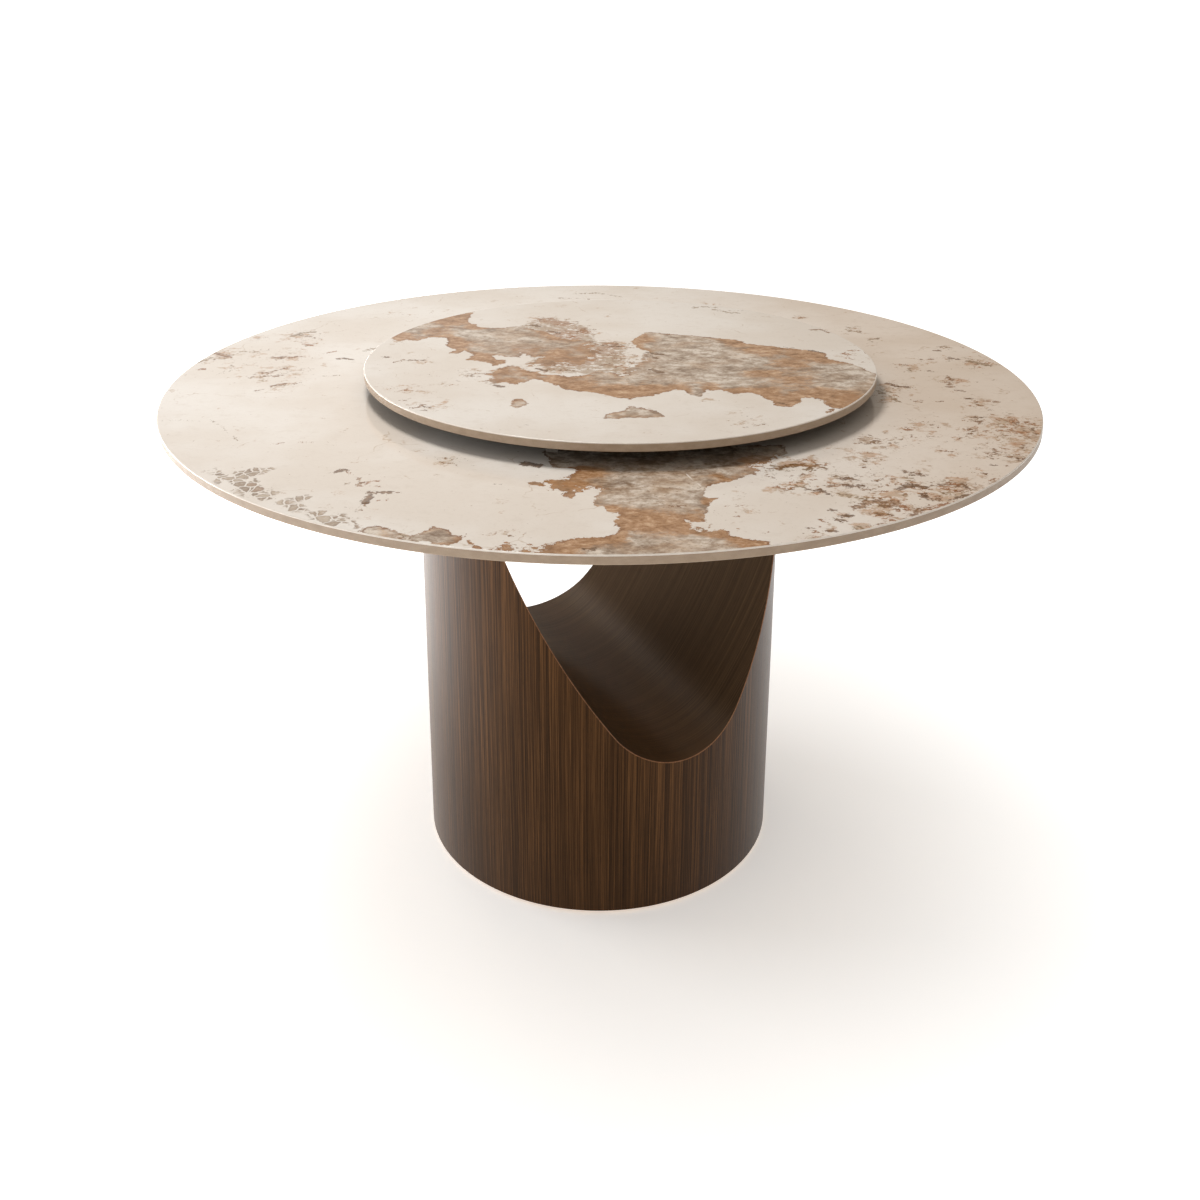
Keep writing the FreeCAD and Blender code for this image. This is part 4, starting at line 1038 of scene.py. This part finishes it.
by_slot = {"plywood": mat_ply, "hardwood": mat_beech, "black_steel": mat_black, "zinc_steel": mat_zinc, "brass": mat_brass,
           "aluminium": mat_alu, "ball_steel": mat_ball, "nylon": mat_nylon, "acetal": mat_acetal, "rubber": mat_rubber,
           "silicone": mat_silicone, "grey_stop": mat_stop}
for entry in frame["record"]["subparts"]:
    m = by_slot.get(entry["material_slot"])
    ob = frame["nodes"][entry["node"]]
    if m is None:
        continue
    ob.data.materials.clear()
    ob.data.materials.append(m)

# ------------------------------------------------------------------ stage, light, camera
RIGHT = Vector((math.cos(VIEW), -math.sin(VIEW), 0.0))
AWAY = Vector((math.sin(VIEW), math.cos(VIEW), 0.0))
UP = Vector((0.0, 0.0, 1.0))

# the floor glows: evenly bright far out, dimmer near the table as a painted contact shadow, and much brighter to the
# viewer's left as a painted pool of light
k = Nodes("pale_floor")
p = k.obj()
n = k.noise(p, 0.7, 4.0, 0.5)
px, py, _ = k.split(p)
far = k.math("SQRT", k.madd(px, px, k.math("MULTIPLY", py, py)))
painted_light_pool_left = k.step(k.madd(px, -RIGHT.x, k.math("MULTIPLY", py, -RIGHT.y)), 0.30, 1.7)
k.set(Base_Color=k.mix(k.step(n, 0.3, 0.7), lin(246, 246, 245), lin(249, 249, 248)), Roughness=0.6,
      Emission_Color=(1.0, 1.0, 1.0, 1.0), Emission_Strength=k.madd(painted_light_pool_left, 1.2, k.step(far, 0.285, 1.2, 0.38, 0.84)))
floor_mesh = bpy.data.meshes.new("floor")
e = 400.0
floor_mesh.from_pydata([(-e, -e, 0), (e, -e, 0), (e, e, 0), (-e, e, 0)], [], [(0, 1, 2, 3)])
floor_mesh.materials.append(k.m)
floor = bpy.data.objects.new("floor", floor_mesh)
bpy.context.scene.collection.objects.link(floor)

# a bright room to the left of the viewer, a warmer and dimmer one to the right, lighter overhead
world = bpy.data.worlds.new("studio")
world.use_nodes = True
wt = world.node_tree
bg = wt.nodes["Background"]
way = wt.nodes.new("ShaderNodeTexCoord")
dot = wt.nodes.new("ShaderNodeVectorMath")
dot.operation = "DOT_PRODUCT"
dot.inputs[1].default_value = tuple(RIGHT)
wt.links.new(way.outputs["Generated"], dot.inputs[0])
side = wt.nodes.new("ShaderNodeMapRange")
side.inputs[1].default_value, side.inputs[2].default_value = -1.0, 1.0
wt.links.new(dot.outputs["Value"], side.inputs[0])
tint = wt.nodes.new("ShaderNodeValToRGB")
el = tint.color_ramp.elements
el[0].position, el[0].color = 0.0, (1.05, 1.06, 1.075, 1.0)
el[1].position, el[1].color = 1.0, (0.21, 0.165, 0.117, 1.0)
for pos, col in ((0.34, (0.975, 0.98, 0.975, 1.0)), (0.5, (0.54, 0.485, 0.42, 1.0)), (0.66, (0.295, 0.244, 0.184, 1.0))):
    q = el.new(pos)
    q.color = col
wt.links.new(side.outputs[0], tint.inputs[0])
high = wt.nodes.new("ShaderNodeSeparateXYZ")
wt.links.new(way.outputs["Generated"], high.inputs[0])
lift = wt.nodes.new("ShaderNodeMapRange")
lift.interpolation_type = "SMOOTHSTEP"
lift.inputs[1].default_value, lift.inputs[2].default_value = 0.15, 0.85
wt.links.new(high.outputs["Z"], lift.inputs[0])
blend = wt.nodes.new("ShaderNodeMix")
blend.data_type = "RGBA"
wt.links.new(lift.outputs[0], blend.inputs[0])
wt.links.new(tint.outputs[0], blend.inputs[6])
blend.inputs[7].default_value = (0.40, 0.392, 0.38, 1.0)
wt.links.new(blend.outputs[2], bg.inputs[0])
bg.inputs[1].default_value = 1.0
bpy.context.scene.world = world


def softbox(name, right, away, up, size, power, aim, colour=(1.0, 1.0, 1.0)):
    light = bpy.data.lights.new(name, "AREA")
    light.shape = "RECTANGLE"
    light.size, light.size_y = size
    light.energy = power
    light.color = colour
    ob = bpy.data.objects.new(name, light)
    ob.location = RIGHT * right + AWAY * away + UP * up
    way = (RIGHT * aim[0] + AWAY * aim[1] + UP * aim[2]) - ob.location
    ob.rotation_euler = way.to_track_quat("-Z", "Y").to_euler()
    bpy.context.scene.collection.objects.link(ob)
    return ob


softbox("window_left", -3.0, 0.9, 0.95, (1.8, 1.2), 52.0, (0.0, 0.0, 0.6), (0.985, 0.99, 1.0))
softbox("low_left", -1.35, 2.0, 0.50, (1.0, 0.6), 11.0, (0.08, -0.10, 0.33), (1.0, 0.88, 0.74))
softbox("ceiling", -0.48, 0.15, 2.6, (0.55, 0.55), 25.5, (0.0, 0.0, 0.7), (1.0, 0.995, 0.985))

cam_data = bpy.data.cameras.new("camera")
cam_data.sensor_fit = "HORIZONTAL"
cam_data.sensor_width = 36.0
cam_data.lens = 1322.5933 / 1200.0 * 36.0
cam_data.shift_x = 0.0
cam_data.shift_y = -200.0 / 1200.0
cam_data.clip_end = 2000.0
cam = bpy.data.objects.new("camera", cam_data)
pitch = 0.3097
fwd = AWAY * math.cos(pitch) - UP * math.sin(pitch)
upv = AWAY * math.sin(pitch) + UP * math.cos(pitch)
rot = Matrix((RIGHT, upv, -fwd)).transposed()
cam.matrix_world = Matrix.Translation(AWAY * -1.9470131 + UP * 1.3493122) @ (rot.to_4x4() @ Matrix.Rotation(0.004, 4, "Z"))
bpy.context.scene.collection.objects.link(cam)
bpy.context.scene.camera = cam
bpy.context.scene.view_settings.view_transform = "Standard"
